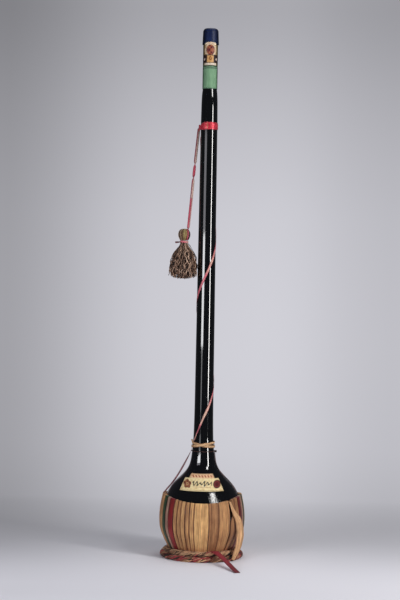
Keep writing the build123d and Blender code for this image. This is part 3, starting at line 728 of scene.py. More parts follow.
def addPlies(skin, radius, level, thick, count, pace, share, size, tones, lift=0.0):
    # a thin cord of two twisted plies round the axis
    for ply, tone in enumerate(tones):
        rings = []
        for i in range(count):
            angle, turn = 360 * i / count, radians(i * pace + ply * 180)
            middle = at(radius + thick * share * cos(turn), angle, level + thick * share * sin(turn)) * mm
            middle.z += read(lift, angle)
            rings.append(roundRing(middle, at(1, angle, 0), upward, thick * size, 6))
        skin.tube(rings, tone, closed=True)


def addRimCord():
    # thin twisted cord under the blades' folds
    low, high = (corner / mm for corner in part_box("rim_cord"))
    thick = (high.z - low.z) / 2
    skin = Skin()
    addPlies(skin, high.x - thick, (high.z + low.z) / 2, thick, 360, 12, 0.48, 0.54, (0.35, 0.65), rimShift)
    skin.piece("twisted_rim_cord", palette["straw"], flaskBody, "straw", "rim_cord")


addRope()
addRimCord()
print("rope ring and rim cord made")


# Ribbon that winds down the neck and runs from its foot to the rim
winding = {
    # angle and level on the neck, then distance from the axis and level of the free stretch
    "levels": [(180, 931.5), (90, 812), (0, 694), (-90, 619.5), (-180, 554), (-270, 468), (-360, 379), (-450, 308),
               (-511, 252), (-535, 239)],
    "stay": [(27.6, 229.5), (38.0, 208.0), (50.6, 185.0), (63.8, 164.5), (76.4, 149.0), (84.4, 139.6)],
    "width": 5.4, "thickness": 0.5, "seat": 0.45, "step": 5.0, "window": 30.0, "face": 68.0, "edgeTone": 0.22,
    "tones": [(180, 0.5), (20, 0.45), (-4, 0.95), (-22, 0.45), (-48, 0.12), (-75, 0.20), (-95, 0.50), (-150, 0.52),
              (-178, 0.9), (-270, 0.4), (-355, 0.7), (-366, 0.95), (-384, 0.50), (-404, 0.30), (-432, 0.02),
              (-462, 0.04), (-470, 0.62), (-484, 0.70), (-494, 0.10), (-535, 0.20)],
    "stayTones": [(0, 0.92), (6, 1.0), (14, 0.94), (20, 1.0), (30, 0.90)],
    "widths": [(180, 1.0), (-90, 1.05), (-430, 0.95), (-470, 0.70), (-500, 0.50), (-535, 0.62), (-560, 0.72)],
}


def addWindingRibbon():
    (first, _), (last, _) = winding["levels"][0], winding["levels"][-1]
    places, outs = [], []
    for angle in (first - i * winding["step"] for i in range(int((first - last) / winding["step"]) + 1)):
        nearby = (clamp(angle + shift * winding["window"], last, first) for shift in (1, 0, 0, -1))
        level = sum(between(winding["levels"], near) for near in nearby) / 4 * mm
        places.append(at(glassRadius(level) + winding["seat"] * mm, angle, level))
        outs.append(at(1, angle, 0))
    onNeck = len(places)
    stay = through([at(r, last, z) * mm for r, z in winding["stay"]], 6)
    front = at(1, last + 90, 0)
    for row, way in enumerate(ways(stay)):
        radial = -way.cross(front).normalized()
        if radial.dot(at(1, last, 0.4)) < 0:
            radial = -radial
        turn = radians(winding["face"]) * min(row / 7, 1)
        outs.append(radial * cos(turn) + front * sin(turn))

    def width(row):
        wavy = 0.90 + 0.08 * sin(row * 0.21) + 0.05 * sin(row * 0.83)
        return winding["width"] * wavy * between(winding["widths"], first - row * winding["step"])

    def woundTone(row, column):
        tone = between(winding["tones"], first - row * winding["step"]) if row < onNeck else \
            between(winding["stayTones"], row - onNeck)
        return clamp(tone + (winding["edgeTone"] if column in (0, 5) else 0.0) + 0.05 * sin(row * 1.3))

    skin = Skin()
    skin.tube(strip(places + stay, outs, width, winding["thickness"],
                    bow=lambda row: 0.10 + 0.10 * sin(row * 0.4)), woundTone)
    skin.piece("wound_ribbon", palette["pink_satin"], flaskBody, "pink_ribbon", "winding_ribbon")


# Red satin band round the neck, arched at the front, with its knot at the left
satinBand = {
    "level": 944.8, "half": 8.3, "leftDrop": 3.6, "leftNarrow": 3.6, "rightNarrow": 0.9, "thickness": 0.5,
    "seat": 0.35, "steps": 144, "rows": 10, "leftStand": 2.0,
    # a painted highlight as a pale streak at an angle, and the tones of the face and of its edges
    "streak": 258.0, "highlightTone": 0.34, "faceTone": 0.5, "edgeTone": 0.22,
}


def addSatinBand():
    rings = []
    for i in range(satinBand["steps"]):
        angle = 360 * i / satinBand["steps"]
        turn = radians(angle)
        left, right = max(0, -cos(turn)) ** 5, max(0, cos(turn)) ** 2
        middle = satinBand["level"] - satinBand["leftDrop"] * left
        half = satinBand["half"] - satinBand["leftNarrow"] * left - satinBand["rightNarrow"] * right
        half += 0.25 * sin(turn * 5)
        ring = []
        for face, place in overAndUnder(satinBand["rows"]):
            share = place * 2 - 1
            level = (middle + half * share) * mm
            crease = 0.16 * sin(share * 7 + turn * 2) + 0.12 * sin(share * 13 - turn * 3)
            stand = satinBand["thickness"] * (1 - abs(share) ** 6 * 0.6) + 0.16 + 0.25 * (1 - share * share) + crease
            stand += satinBand["leftStand"] * left * (1 - share ** 4)
            ring.append(at(glassRadius(level) + (satinBand["seat"] + face * stand) * mm, angle, level))
        rings.append(ring)

    def bandTone(row, column):
        away = abs(360 * row / satinBand["steps"] - satinBand["streak"])
        # painted highlight: a pale streak at one angle round the neck and a fainter one beside it
        pale = satinBand["highlightTone"] * max(0, 1 - away / 7) + 0.12 * max(0, 1 - abs(away - 22) / 6)
        edge = satinBand["edgeTone"] if column in (0, 9) else 0.05 * sin(column * 2.2 + row * 0.2)
        return satinBand["faceTone"] - pale + edge

    Skin().tube(rings, bandTone, closed=True).piece("satin_band", palette["red_satin"], flaskBody, "red_satin",
                                                    "red_ribbon_band")


def knotCourse(centre, size, across, depth, count=96):
    # an overhand knot: size along each of three directions, in metres
    course = []
    for i in range(count):
        t = 2 * pi * i / count
        x, y = (sin(t) + 2 * sin(2 * t)) / 3, (cos(t) - 2 * cos(2 * t)) / 3
        course.append(centre + across * (x * size[0]) + upward * (y * size[2]) - depth * (sin(3 * t) * size[1]))
    return course


bandKnot = {
    "strand": 1.7, "flat": 0.7, "tone": 0.62, "shift": 1.5,
    # flat ends that join the knot to what it ties
    "links": [[(-16.2, -5.6, 942.0), (-18.4, -3.4, 942.4), (-20.6, -1.6, 941.6), (-21.8, -0.4, 940.0)],
              [(-20.4, -0.6, 943.0), (-22.0, -0.9, 941.0), (-22.6, -0.6, 938.0), (-22.9, -0.2, 934.5)]],
}
raffiaKnot = {"strand": 1.3, "flat": 0.75, "tone": 0.6, "shift": 0.0, "links": []}


def addKnot(knot, name, finish, slotName, nodeName):
    strand, (low, high) = knot["strand"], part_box(nodeName)
    centre, half = (low + high) / 2 + Vector((knot["shift"] * mm, 0, 0)), (high - low) / 2
    away = Vector((centre.x, centre.y, 0)).normalized()
    across = Vector((-away.y, away.x, 0))
    wide, deep = (half.dot(Vector((abs(v.x), abs(v.y), 0))) - strand * mm for v in (across, away))
    skin = Skin()
    course = knotCourse(centre, (wide, deep * 0.9, half.z - strand * mm), across, away)
    skin.tube(knotted(course, centre, strand, 8, knot["flat"]), knot["tone"], closed=True)
    for link in knot["links"]:
        places = through(metres(link), 5)
        skin.tube(strip(places, [away + Vector((0, -0.9, 0))] * len(places),
                        lambda row: strand * (3.4 - 1.3 * sin(pi * row / (len(places) - 1))), 0.6, 4),
                  knot["tone"])
    skin.piece(name, palette[finish], flaskBody, slotName, nodeName)


addWindingRibbon()
addSatinBand()
addKnot(bandKnot, "satin_knot", "red_satin", "red_satin", "red_ribbon_knot")
print("ribbons made")


# Raffia tie at the neck's foot: two strands that cross at the front
raffiaTie = {
    "level": 246.0, "swing": 4.4, "width": 6.4, "thickness": 0.9, "under": 1.75, "lap": 1.05, "cross": 12.0,
    "step": 5.0, "ridge": 0.24, "seed": 41, "tones": (0.1, 0.75, 0.9, 0.55, 0.95, 0.8, 0.6, 0.15), "underTone": 0.2,
    "stub": [(-21.6, -6.5, 248.0), (-23.4, -6.9, 251.0), (-24.6, -7.0, 254.5), (-25.0, -6.9, 257.2)],
    "stubWidth": 3.6, "stubThickness": 0.8,
}


def addRaffia():
    random.seed(raffiaTie["seed"])
    tones = raffiaTie["tones"]
    ridges = uneven(len(tones), raffiaTie["ridge"])
    steps = round(720 / raffiaTie["step"])
    places, outs = [], []
    for i in range(steps + 1):
        angle, share = 90 + i * raffiaTie["step"], i / steps
        turn = radians(angle + raffiaTie["cross"])
        level = (raffiaTie["level"] - (1 if share < 0.5 else -1) * raffiaTie["swing"] * cos(turn)) * mm
        over = raffiaTie["lap"] * clamp((share - 0.46) * 14) * (0.25 + 0.75 * abs(sin(turn)) ** 3)
        places.append(at(glassRadius(level - 2.5 * mm) + (raffiaTie["under"] + over) * mm, angle, level))
        outs.append(at(1, angle, 0))
    skin = Skin()
    skin.tube(strip(places, outs, lambda row: raffiaTie["width"] * (0.92 + 0.12 * sin(row * 0.19 + 1)
                                                                   + 0.05 * sin(row * 0.7)),
                    raffiaTie["thickness"], len(tones), 0.3, ridges),
              lambda row, column: tones[column] if column < len(tones) else raffiaTie["underTone"])
    places = through(metres(raffiaTie["stub"]), 4)
    skin.tube(strip(places, [Vector((-0.5, -0.86, 0))] * len(places), raffiaTie["stubWidth"],
                    raffiaTie["stubThickness"], 4), 0.7, offset=90)
    skin.piece("raffia_wrap", palette["raffia"], flaskBody, "raffia", "raffia_neck_tie", sharp=60)


# Thin dark cord under the tie and the strand down the right of the shoulder
darkCord = {"level": 231.5, "radius": 1.1, "knotAngle": -10.0, "knotRadius": 2.9, "knotStrand": 0.7,
            "strandAngle": -9.0, "strandLevels": [228, 216, 205, 196, 187, 178, 169, 161, 153, 145, 138],
            "strandWidth": 4.6, "strandThickness": 1.3, "strandBow": 0.15, "seat": 1.1}


def addDarkCord():
    level, thick, angle = darkCord["level"], darkCord["radius"], darkCord["knotAngle"]
    radius = glassRadius((level - thick) * mm) / mm + 1.1
    skin = Skin()
    addPlies(skin, radius, level, thick, 180, 22, 0.45, 0.55, (0.4, 0.4))
    centre = at(radius + darkCord["knotRadius"] - thick, angle, level) * mm
    reach = (darkCord["knotRadius"] - darkCord["knotStrand"]) * mm
    course = knotCourse(centre, (reach, reach, reach), at(1, angle + 90, 0), at(1, angle, 0), 64)
    skin.tube(knotted(course, centre, darkCord["knotStrand"], 6), 0.3, closed=True)
    skin.piece("dark_cord_loop", palette["dark_cord"], flaskBody, "dark_cord", "dark_neck_cord")


def addShoulderStrand():
    places, outs, angle = [], [], darkCord["strandAngle"]
    for level in darkCord["strandLevels"]:
        outs.append(at(1, angle, -glassSlope(level * mm)).normalized())
        places.append(at(glassRadius(level * mm), angle, level * mm) + outs[-1] * darkCord["seat"] * mm)
    skin = Skin()
    skin.tube(strip(through(places, 4), through(outs, 4),
                    lambda row: darkCord["strandWidth"] * (0.82 + 0.12 * sin(row * 0.35)),
                    darkCord["strandThickness"], 5, darkCord["strandBow"]),
              lambda row, column: 0.5 + 0.45 * sin(row * 0.45))
    skin.piece("shoulder_straw_strand", palette["shoulder_straw"], flaskBody, "dark_cord", "shoulder_strand")


addRaffia()
addKnot(raffiaKnot, "raffia_tie_knot", "raffia", "raffia", "raffia_knot")
addDarkCord()
addShoulderStrand()
print("ties made")


# Tassel: straw head, ribbon over it, waist tie and the skirt of kinked straws
tassel = {
    "centre": -50.3, "headLow": 693.4, "headTop": 719.2, "headRadius": 13.2, "waistRadius": 8.6,
    "headShares": [(0.84, 0.16), (1.0, 0.42), (0.97, 0.68), (0.74, 0.90), (0.36, 0.99)],
    "ribTones": [0.1, 0.3, 0.62, 0.1, 0.95, 0.35, 0.0, 0.9, 0.45, 1.0, 0.0, 0.95, 0.2, 0.72, 0.60, 0.35, 0.1, 0.0],
    "ribDepth": 0.13, "columns": 216, "seed": 51,
    "tieHeight": 4.4, "tieLevel": 690.3, "tieRadius": 9.0, "tieStrand": 0.95, "tieWraps": 3,
    "stubLength": 11.0, "stubWidth": 3.8, "stubThickness": 1.9,
    "hangerTop": (-41.6, 0, 721.0), "hangerWidth": 3.8, "hangerThickness": 0.55, "hangerSeat": 0.55,
    "hangerAngles": [(0, -45), (0.3, -50), (1, -54)],
    "skirtTop": 687.6, "skirtLow": 609.5, "ragged": 20, "strands": 420, "rows": 15,
    "wanderKept": 0.62,  # the share of a straw's wander that goes on to its next row
    "spread": [(687.6, 7.6), (680, 11.0), (672, 17.5), (664, 23.0), (650, 27.6), (635, 30.4), (606.0, 32.6)],
    "kink": 2.6, "thin": 0.42, "thick": 0.92, "lean": 1.4, "clear": 1.5, "wave": 2.6, "rounding": 7.0,
    "outerTones": (0.0, 0.05, 0.25, 0.45, 0.6, 0.8, 0.95, 1.0), "innerTones": (0.0, 0.02, 0.1, 0.3, 0.6),
    # two long dark straws at the right
    "darkStraws": [[(-42.6, 0, 688.5), (-37.6, 1.05, 682), (-28.6, 2.45, 668), (-22.0, 3.5, 656)],
                   [(-42.6, 0, 688.5), (-36.8, -0.6, 682), (-28.6, -1.4, 667.2), (-22.0, -2.0, 653.6)]],
}
tasselCentre = Vector((tassel["centre"] * mm, 0))


def headOutline(steps):
    height = tassel["headTop"] - tassel["headLow"]
    points = [(tassel["headRadius"] * r, 0, tassel["headLow"] + height * z) for r, z in tassel["headShares"]]
    foot, crown = (tassel["waistRadius"], 0, tassel["headLow"]), (0.05, 0, tassel["headTop"])
    return through(metres([foot, *points, crown]), steps)


def addTasselHead():
    random.seed(tassel["seed"])
    outline, tones, columns = headOutline(5), tassel["ribTones"], tassel["columns"]
    sizes = [random.uniform(0.7, 1.0) for _ in tones]
    angles = [360 * i / columns for i in range(columns)]
    rings = [[at(0.5 * mm, angle, outline[0].z, tasselCentre) for angle in angles]]
    for row, point in enumerate(outline):
        share = row / (len(outline) - 1)
        ring = []
        for angle in angles:
            rib = (angle + 5 * sin(share * 4)) / 360 * len(tones)
            groove = sizes[int(rib) % len(tones)] * tassel["ribDepth"] * (1 - sin(pi * (rib % 1)))
            radius = point.x * (1 - groove + 0.012 * sin(angle * 1.9 + share * 3))
            ring.append(at(radius, angle, point.z, tasselCentre))
        rings.append(ring)

    def ribTone(row, column):
        rib = column / columns * len(tones)
        # painted shade: each rib turns darker toward the grooves at its sides
        return clamp(tones[int(rib) % len(tones)] - 0.3 * abs(rib % 1 - 0.5))

    Skin().tube(rings, ribTone).piece("straw_head", palette["head_straw"], tasselBody, "tassel_straw", "tassel_head")


def addTasselHanger():
    # from the ribbon's end over the head and down to the tie
    outline = headOutline(6)
    kept = sum(point.x >= 0.0101 or point.z <= 0.71 for point in outline)
    surface = outline[1:kept + 1][::-1]  # without the crown of the head
    places, outs = metres([tassel["hangerTop"]]), [Vector((0.3, -1, 0.2)).normalized()]
    for row, (point, way) in enumerate(zip(surface, ways(surface))):
        angle = between(tassel["hangerAngles"], row / (len(surface) - 1))
        outs.append(at(-way.z, angle, way.x))
        places.append(at(point.x, angle, point.z, tasselCentre) + outs[-1] * tassel["hangerSeat"] * mm)
    skin = Skin()
    skin.tube(strip(places, outs, tassel["hangerWidth"], tassel["hangerThickness"], 5, 0.15),
              lambda row, column: 0.88 if column in (0, 4) else 0.58)
    skin.piece("ribbon_over_head", palette["hanging_satin"], tasselBody, "pink_ribbon", "tassel_hanger")


def addWaistTie():
    wraps, steps = tassel["tieWraps"], tassel["tieWraps"] * 60
    places = []
    for i in range(steps + 1):
        angle = 180 + i / steps * 360 * wraps
        level = tassel["tieLevel"] + tassel["tieHeight"] * 0.36 * (1 - 2 * i / steps)
        level += 0.25 * sin(radians(angle * 2))
        places.append(at(tassel["tieRadius"] * mm, angle, level * mm, tasselCentre))
    rings = []
    for place, way in zip(places, ways(places)):
        out = (place - Vector((*tasselCentre, place.z))).normalized()
        rings.append(roundRing(place, way.cross(out).normalized(), out, tassel["tieStrand"], 8, 0.62))
    skin = Skin()
    skin.tube(rings, lambda row, column: 0.36 + 0.14 * sin(row * 0.2))
    start = Vector((tassel["centre"] - tassel["waistRadius"], 0, tassel["tieLevel"]))
    ends = metres(start + Vector((-tassel["stubLength"] * share, 0.6 * sin(share * 3), -1.3 * share))
                  for share in (0, 0.25, 0.5, 0.75, 1))
    outs = [Vector((0, sin(i * 0.5), cos(i * 0.5))) for i in range(len(ends))]
    skin.tube(strip(ends, outs, tassel["stubWidth"], tassel["stubThickness"], 4, 0.25), 1.0, offset=70)
    skin.piece("waist_wraps", palette["pink_satin"], tasselBody, "red_satin", "tassel_waist_tie")


def kinkedStraw(share, angle):
    # the knots of one straw of the skirt, from the waist to its end
    top, last = tassel["skirtTop"], tassel["rows"] - 1
    end = tassel["skirtLow"] + (random.random() ** 1.6) * tassel["ragged"] * (0.5 + share * 0.7)
    end += tassel["rounding"] * (share * cos(radians(angle))) ** 2
    phase, swirl = random.uniform(0, 6.28), random.uniform(0.9, 1.5)
    knots, wander = [], Vector((0, 0, 0))
    for row in range(last + 1):
        down = row / last
        level = top + (end - top) * down
        if row > 2:
            step = tassel["kink"] * min(0.25 + down * 1.5, 1)
            wander += Vector([random.uniform(-reach, reach) for reach in (1, 1, 0.4)]) * step
            wander *= tassel["wanderKept"]
        lean = Vector((tassel["centre"] - tassel["lean"] * down, 0, 0))
        lean += at(tassel["wave"] * min(down * 2, 1) * sin(phase + row * swirl), angle + 90, 0)
        knots.append((at(between(tassel["spread"], level) * share, angle, level) + lean + wander) * mm)
    limit = between(tassel["spread"], end) * mm * 1.04
    for knot in knots:  # no straw leaves the tassel's own room, or enters the neck
        offset = knot.xy - tasselCentre
        if offset.length > limit:
            knot.xy = tasselCentre + offset * (limit / offset.length)
        room = glassRadius(knot.z) + tassel["clear"] * mm
        if knot.xy.length < room:
            knot.xy = knot.xy * (room / knot.xy.length)
    return through(knots, 2)


def addTasselSkirt():
    random.seed(tassel["seed"] + 1)
    golden = pi * (3 - sqrt(5))
    skin = Skin()
    for index in range(tassel["strands"]):
        share = sqrt((index + 0.5) / tassel["strands"])
        angle = degrees(index * golden)
        knots = kinkedStraw(share, angle)
        thickness = random.uniform(tassel["thin"], tassel["thick"]) * (1.25 if share > 0.8 else 1)
        base = random.choice(tassel["outerTones" if share > 0.8 else "innerTones"])
        rings = []
        for row, (place, way) in enumerate(zip(knots, ways(knots))):
            swell = thickness * (0.75 + 0.5 * row / len(knots))
            rings.append(roundRing(place, *facing(way, at(1, angle + 40, 0)), swell, 5, 0.7))
        skin.tube(rings, lambda row, column: clamp(base + 0.22 * sin(row * 0.9 + index)), offset=index * 13.0)
    front = Vector((0, 1, 0))
    for knots in map(metres, tassel["darkStraws"]):
        skin.tube([roundRing(place, way.cross(front).normalized(), front, 0.42, 5)
                   for place, way in zip(knots, ways(knots))], 0.0)
    skin.piece("straw_skirt", palette["tassel_straw"], tasselBody, "tassel_straw", "tassel_skirt")


addTasselHead()
addTasselHanger()
addWaistTie()
addTasselSkirt()
print("tassel made")


# Papers round the neck's top
seal = {"low": 1076.1, "high": 1121.6, "radius": 16.0, "paper": 0.3, "steps": 96, "rows": 26,
        "tabHalfAngle": 43.0, "tabTop": 1127.6, "over": 18.5, "edge": 1123.7}


def addSeal(material):
    # a paper tube with an arched tab that rises over the capsule's edge
    rings = []
    for i in range(seal["steps"]):
        angle = 360 * i / seal["steps"]
        share = min(abs((angle - 90) % 360 - 180) / seal["tabHalfAngle"], 1)
        top = seal["high"] + (seal["tabTop"] - seal["high"]) * sqrt(1 - share ** 2)
        ring = []
        for face, place in overAndUnder(seal["rows"]):
            level = seal["low"] + (top - seal["low"]) * place
            step = eased(clamp((level - (seal["edge"] - 2.4)) / 2.2))
            wrinkle = 0.06 * sin(level * 1.7 + angle * 0.12) + 0.05 * sin(angle * 0.4)
            radius = seal["radius"] + (seal["over"] - seal["radius"]) * step + face * (seal["paper"] + wrinkle)
            ring.append(at(radius, angle, level) * mm)
        rings.append(ring)
    Skin().tube(rings, closed=True).piece("seal_paper", material, flaskBody, "seal_paper", "neck_seal_strip", sharp=50)


# The painted marks below stand at angles in degrees from the front, and at places in metres
def sealPaper():
    paint = Finish("seal_paper", 0.45, 0.4)
    x, y, z = paint.places()
    angle = frontAngle(x, y)
    cloud = paint.noise((900, 900, 900))
    paint.colour = paint.ramp(cloud, (0.3, (0.34, 0.23, 0.095)), (0.7, (0.56, 0.42, 0.20)))
    # painted shade: the paper turns darker toward the sides of the neck
    paint.over(abs(angle).share(40.0, 60.0), (0.095, 0.068, 0.026))  # darker sides
    paint.over(z.band(1.1222, 1.1400, 0.0012), (0.90, 0.78, 0.56))  # cream tab
    halo = oval(angle, z, (0, 1.1106), 50.0, 0.0172)
    leaves = (z * 2600.0 + angle * 0.35).calc("SINE").share(-0.6, 0.5)
    paint.over(halo.band(0.70, 0.98, 0.05), paint.mixed(leaves, (0.50, 0.26, 0.13), (0.92, 0.76, 0.56)))
    figure = (angle * 0.23).calc("SINE") * (halo * 13.0).calc("SINE") + (cloud * 1.6 - 0.8)
    petals = paint.ramp(figure.share(-0.6, 0.7), (0.1, (0.085, 0.010, 0.012)), (0.5, (0.26, 0.040, 0.038)),
                        (0.85, (0.44, 0.150, 0.060)))
    paint.over(halo.band(-1.0, 0.66, 0.05), petals)
    paint.over(z.band(1.0822, 1.1003, 0.0010), (0.024, 0.010, 0.010))  # dark band with a dot at each side
    dots = oval(abs(angle), z, (51.0, 1.0905), 9.0, 0.0034)
    paint.over(dots.band(-1.0, 0.8, 0.15), (0.72, 0.58, 0.50))
    paint.over(angle.band(-27.0, 26.0, 2.0) * z.band(1.0835, 1.0985, 0.0008), (0.66, 0.36, 0.13))  # tan field
    heart = oval(angle, z, (0, 1.0925), 12.0, 0.0046)
    paint.over(heart.band(0.35, 0.95, 0.15), (0.24, 0.085, 0.02))
    paint.over(z.band(1.0775, 1.0820, 0.0006) * angle.band(-52.0, 52.0, 3.0), (0.78, 0.66, 0.54))  # cream foot
    paint.over(z.band(1.0700, 1.0775, 0.0004), (0.09, 0.15, 0.085))
    return paint.done(cloud, 0.0002, 0.4)


def greenPaper():
    paint = Finish("green_paper", 0.6, 0.3)
    x, y, z = paint.places()
    cloud, stripes = paint.noise((300, 300, 60)), paint.noise((1500, 1500, 40), detail=2.0)
    paint.colour = paint.ramp(cloud, (0.3, (0.165, 0.325, 0.185)), (0.7, (0.240, 0.425, 0.255)))
    paint.times(0.5, paint.ramp(stripes, (0.35, 0.8), (0.65, 1.12)))
    # painted shade: the band turns dark green toward the sides of the neck, where it rounds away
    paint.over(abs(frontAngle(x, y)).band(61.0, 100.0, 3.0), (0.022, 0.050, 0.030))  # darker sides
    rims = z.band(1.0700, 1.0730, 0.0006) + z.band(1.0258, 1.0280, 0.0005)
    paint.over(rims * 0.75, (0.05, 0.095, 0.070))
    return paint.done(stripes, 0.0002, 0.5)


def coat(nodeName, material):
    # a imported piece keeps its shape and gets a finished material
    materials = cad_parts[nodeName].data.materials
    materials.clear()
    materials.append(material)


addSeal(sealPaper())
coat("green_neck_band", greenPaper())
print("neck papers made")


# The flask's glass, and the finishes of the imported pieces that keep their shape
glass = {"levels": 380, "sides": 120, "readings": 24, "wall": 3.2, "kernel": (1, 3, 5, 6, 5, 3, 1),
         "neckFoot": 270, "neckPasses": 14}


def addGlass(material):
    # the blown wall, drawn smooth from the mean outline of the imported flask, and hollow
    (low, high), count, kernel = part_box("glass_flask"), glass["levels"], glass["kernel"]
    levels = [low.z + 0.4 * mm + (high.z - low.z - 0.5 * mm) * i / count for i in range(count + 1)]
    turns = [360 * k / glass["readings"] for k in range(glass["readings"])]
    radii = [sum(glassRadius(level, turn) for turn in turns) / len(turns) for level in levels]
    half = len(kernel) // 2
    smooth = [sum(radii[i + shift] * weight for shift, weight in enumerate(kernel, -half)) / sum(kernel)
              for i in range(half, count + 1 - half)]
    radii = radii[:half] + smooth + radii[-half:]
    foot = next(i for i, level in enumerate(levels) if level > glass["neckFoot"] * mm)
    for _ in range(glass["neckPasses"]):  # the neck alone is smoothed further
        neck = [(radii[i - 1] + radii[i] * 2 + radii[i + 1]) / 4 for i in range(foot, count)]
        radii = radii[:foot] + neck + radii[-1:]

    def wall(depth, first):
        return [[at(radius - depth * mm, 360 / glass["sides"] * k, level) for k in range(glass["sides"])]
                for radius, level in zip(radii[first:], levels[first:])]

    skin = Skin()
    skin.tube(wall(0, 0) + wall(glass["wall"], half)[::-1])
    skin.piece("blown_glass", material, flaskBody, "dark_glass", "glass_flask", sharp=50)


def darkGlass():
    # near-black blown glass with faint seeds and a little dust low on the shoulder
    paint = Finish("black_glass", 0.06, 1.0)
    low = paint.places()[2].share(0.132, 0.158, 1.0, 0.0)
    wave = paint.noise((22, 22, 7), detail=1.0)
    seeds = paint.noise((420, 420, 240), detail=2.0)
    paint.connect(seeds.share(0.50, 0.64, 0.0, 0.05) * low + 0.06, "Roughness")
    paint.shader.inputs["Base Color"].default_value = (0.0012, 0.0016, 0.0022, 1)
    return paint.done(wave * 0.35 + seeds * low * 0.9, 0.0012, 0.30)


def blueCapsule():
    paint = Finish("blue_capsule", 0.42, 0.35)
    x, y, z = paint.places()
    paint.colour = paint.ramp(paint.noise((260, 260, 120)), (0.3, (0.003, 0.009, 0.046)), (0.7, (0.007, 0.020, 0.092)))
    # painted shade: the capsule turns darker toward the sides of the neck
    paint.over(abs(frontAngle(x, y)).share(26.0, 58.0) * 0.85, (0.002, 0.003, 0.012))
    paint.over(z.band(1.1495, 1.1512, 0.0008) * 0.5, (0.004, 0.008, 0.03))
    return paint.done(paint.noise((1100, 1100, 60), detail=2.0), 0.0003, 0.5)


def corkBark():
    paint = Finish("cork", 0.85, 0.2)
    grain = paint.noise((380, 380, 520), detail=4.0)
    pits = paint.node("TexVoronoi", {"Vector": paint.stretched((420, 420, 300)), "Scale": 1.0})
    paint.colour = paint.ramp(grain, (0.3, (0.36, 0.20, 0.10)), (0.7, (0.62, 0.42, 0.25)))
    paint.times(0.8, paint.ramp(pits, (0.10, (0.30, 0.22, 0.18)), (0.26, 1.0)))
    return paint.done(grain, 0.0006, 0.6)


def redWine():
    paint = Finish("wine", 0.06, 0.5)
    depth = paint.noise((12, 12, 6), detail=2.0)
    paint.colour = paint.ramp(depth, (0.3, (0.030, 0.002, 0.005)), (0.7, (0.060, 0.005, 0.010)))
    return paint.done()


def crossedStraw():
    paint = Finish("basket_floor", 0.75, 0.3)
    check = paint.node("TexChecker", {"Vector": paint.stretched((110, 110, 1)), "Scale": 1.0}, "Fac")
    weave = paint.mixed(check, *(paint.noise(scale, detail=2.0) for scale in ((30, 420, 1), (420, 30, 1))))
    paint.colour = paint.ramp(weave, (0.3, (0.22, 0.12, 0.055)), (0.7, (0.50, 0.31, 0.15)))
    return paint.done(weave, 0.0008, 0.8)


label = {
    # level, left and right edge of each paper's foot and head; tones of its grain; its border
    "label": {"edges": [(151.0, -49.2, 46.0), (176.0, -37.6, 34.4)], "rows": 14, "grain": 220,
              "tones": [(0.28, (0.66, 0.47, 0.22)), (0.5, (0.86, 0.70, 0.38)), (0.72, (0.93, 0.82, 0.55))],
              "middle": 0.0016, "slant": 0.465, "side": (0.0456, 0.0464), "line": (0.1523, 0.1531),
              "ink": (0.24, 0.13, 0.05), "inkShare": 0.75},
    "banner": {"edges": [(176.2, -28.8, 26.0), (184.9, -24.4, 21.4)], "rows": 6, "grain": 260,
               "tones": [(0.3, (0.70, 0.40, 0.20)), (0.7, (0.90, 0.66, 0.42))],
               "middle": 0.0014, "slant": 0.516, "side": (0.0258, 0.0266), "line": (0.1838, 0.1844),
               "ink": (0.28, 0.08, 0.03), "inkShare": 0.7},
    "lift": 0.45, "thickness": 0.3, "columns": 40, "emblem": (-0.0330, 0.1648), "roundSeal": (0.0312, 0.1650),
}


def addPaper(name, paper, material, slotName, nodeName):
    # a paper pasted on the shoulder
    rings = []
    for row in range(paper["rows"] + 1):
        level, left, right = Vector(paper["edges"][0]).lerp(Vector(paper["edges"][1]), row / paper["rows"]) * mm
        radius, slope = glassRadius(level), glassSlope(level)
        ring = []
        for face, place in overAndUnder(label["columns"]):
            across = left + (right - left) * place
            angle = degrees(asin(across / radius)) - 90
            wrinkle = 0.08 * sin(across * 420 + row)
            lift = label["lift"] + (wrinkle if face else -label["thickness"])
            ring.append(at(radius, angle, level) + at(1, angle, -slope).normalized() * (lift * mm))
        rings.append(ring)
    Skin().tube(rings).piece(name, material, flaskBody, slotName, nodeName, sharp=40)


def grainyPaper(name, paper):
    # mottled paper with a thin border along its slanted sides and one edge
    paint = Finish(name, 0.55, 0.3)
    x, _, z = paint.places()
    grain = paint.noise((paper["grain"],) * 3, detail=4.0)
    paint.colour = paint.ramp(grain, *paper["tones"])
    side = abs(x + paper["middle"]) + (z - paper["edges"][0][0] * mm) * paper["slant"]
    border = side.band(*paper["side"], 0.0003).calc("MAXIMUM", z.band(*paper["line"], 0.0002))
    paint.over(border * paper["inkShare"], paper["ink"])
    return paint, x, z, grain


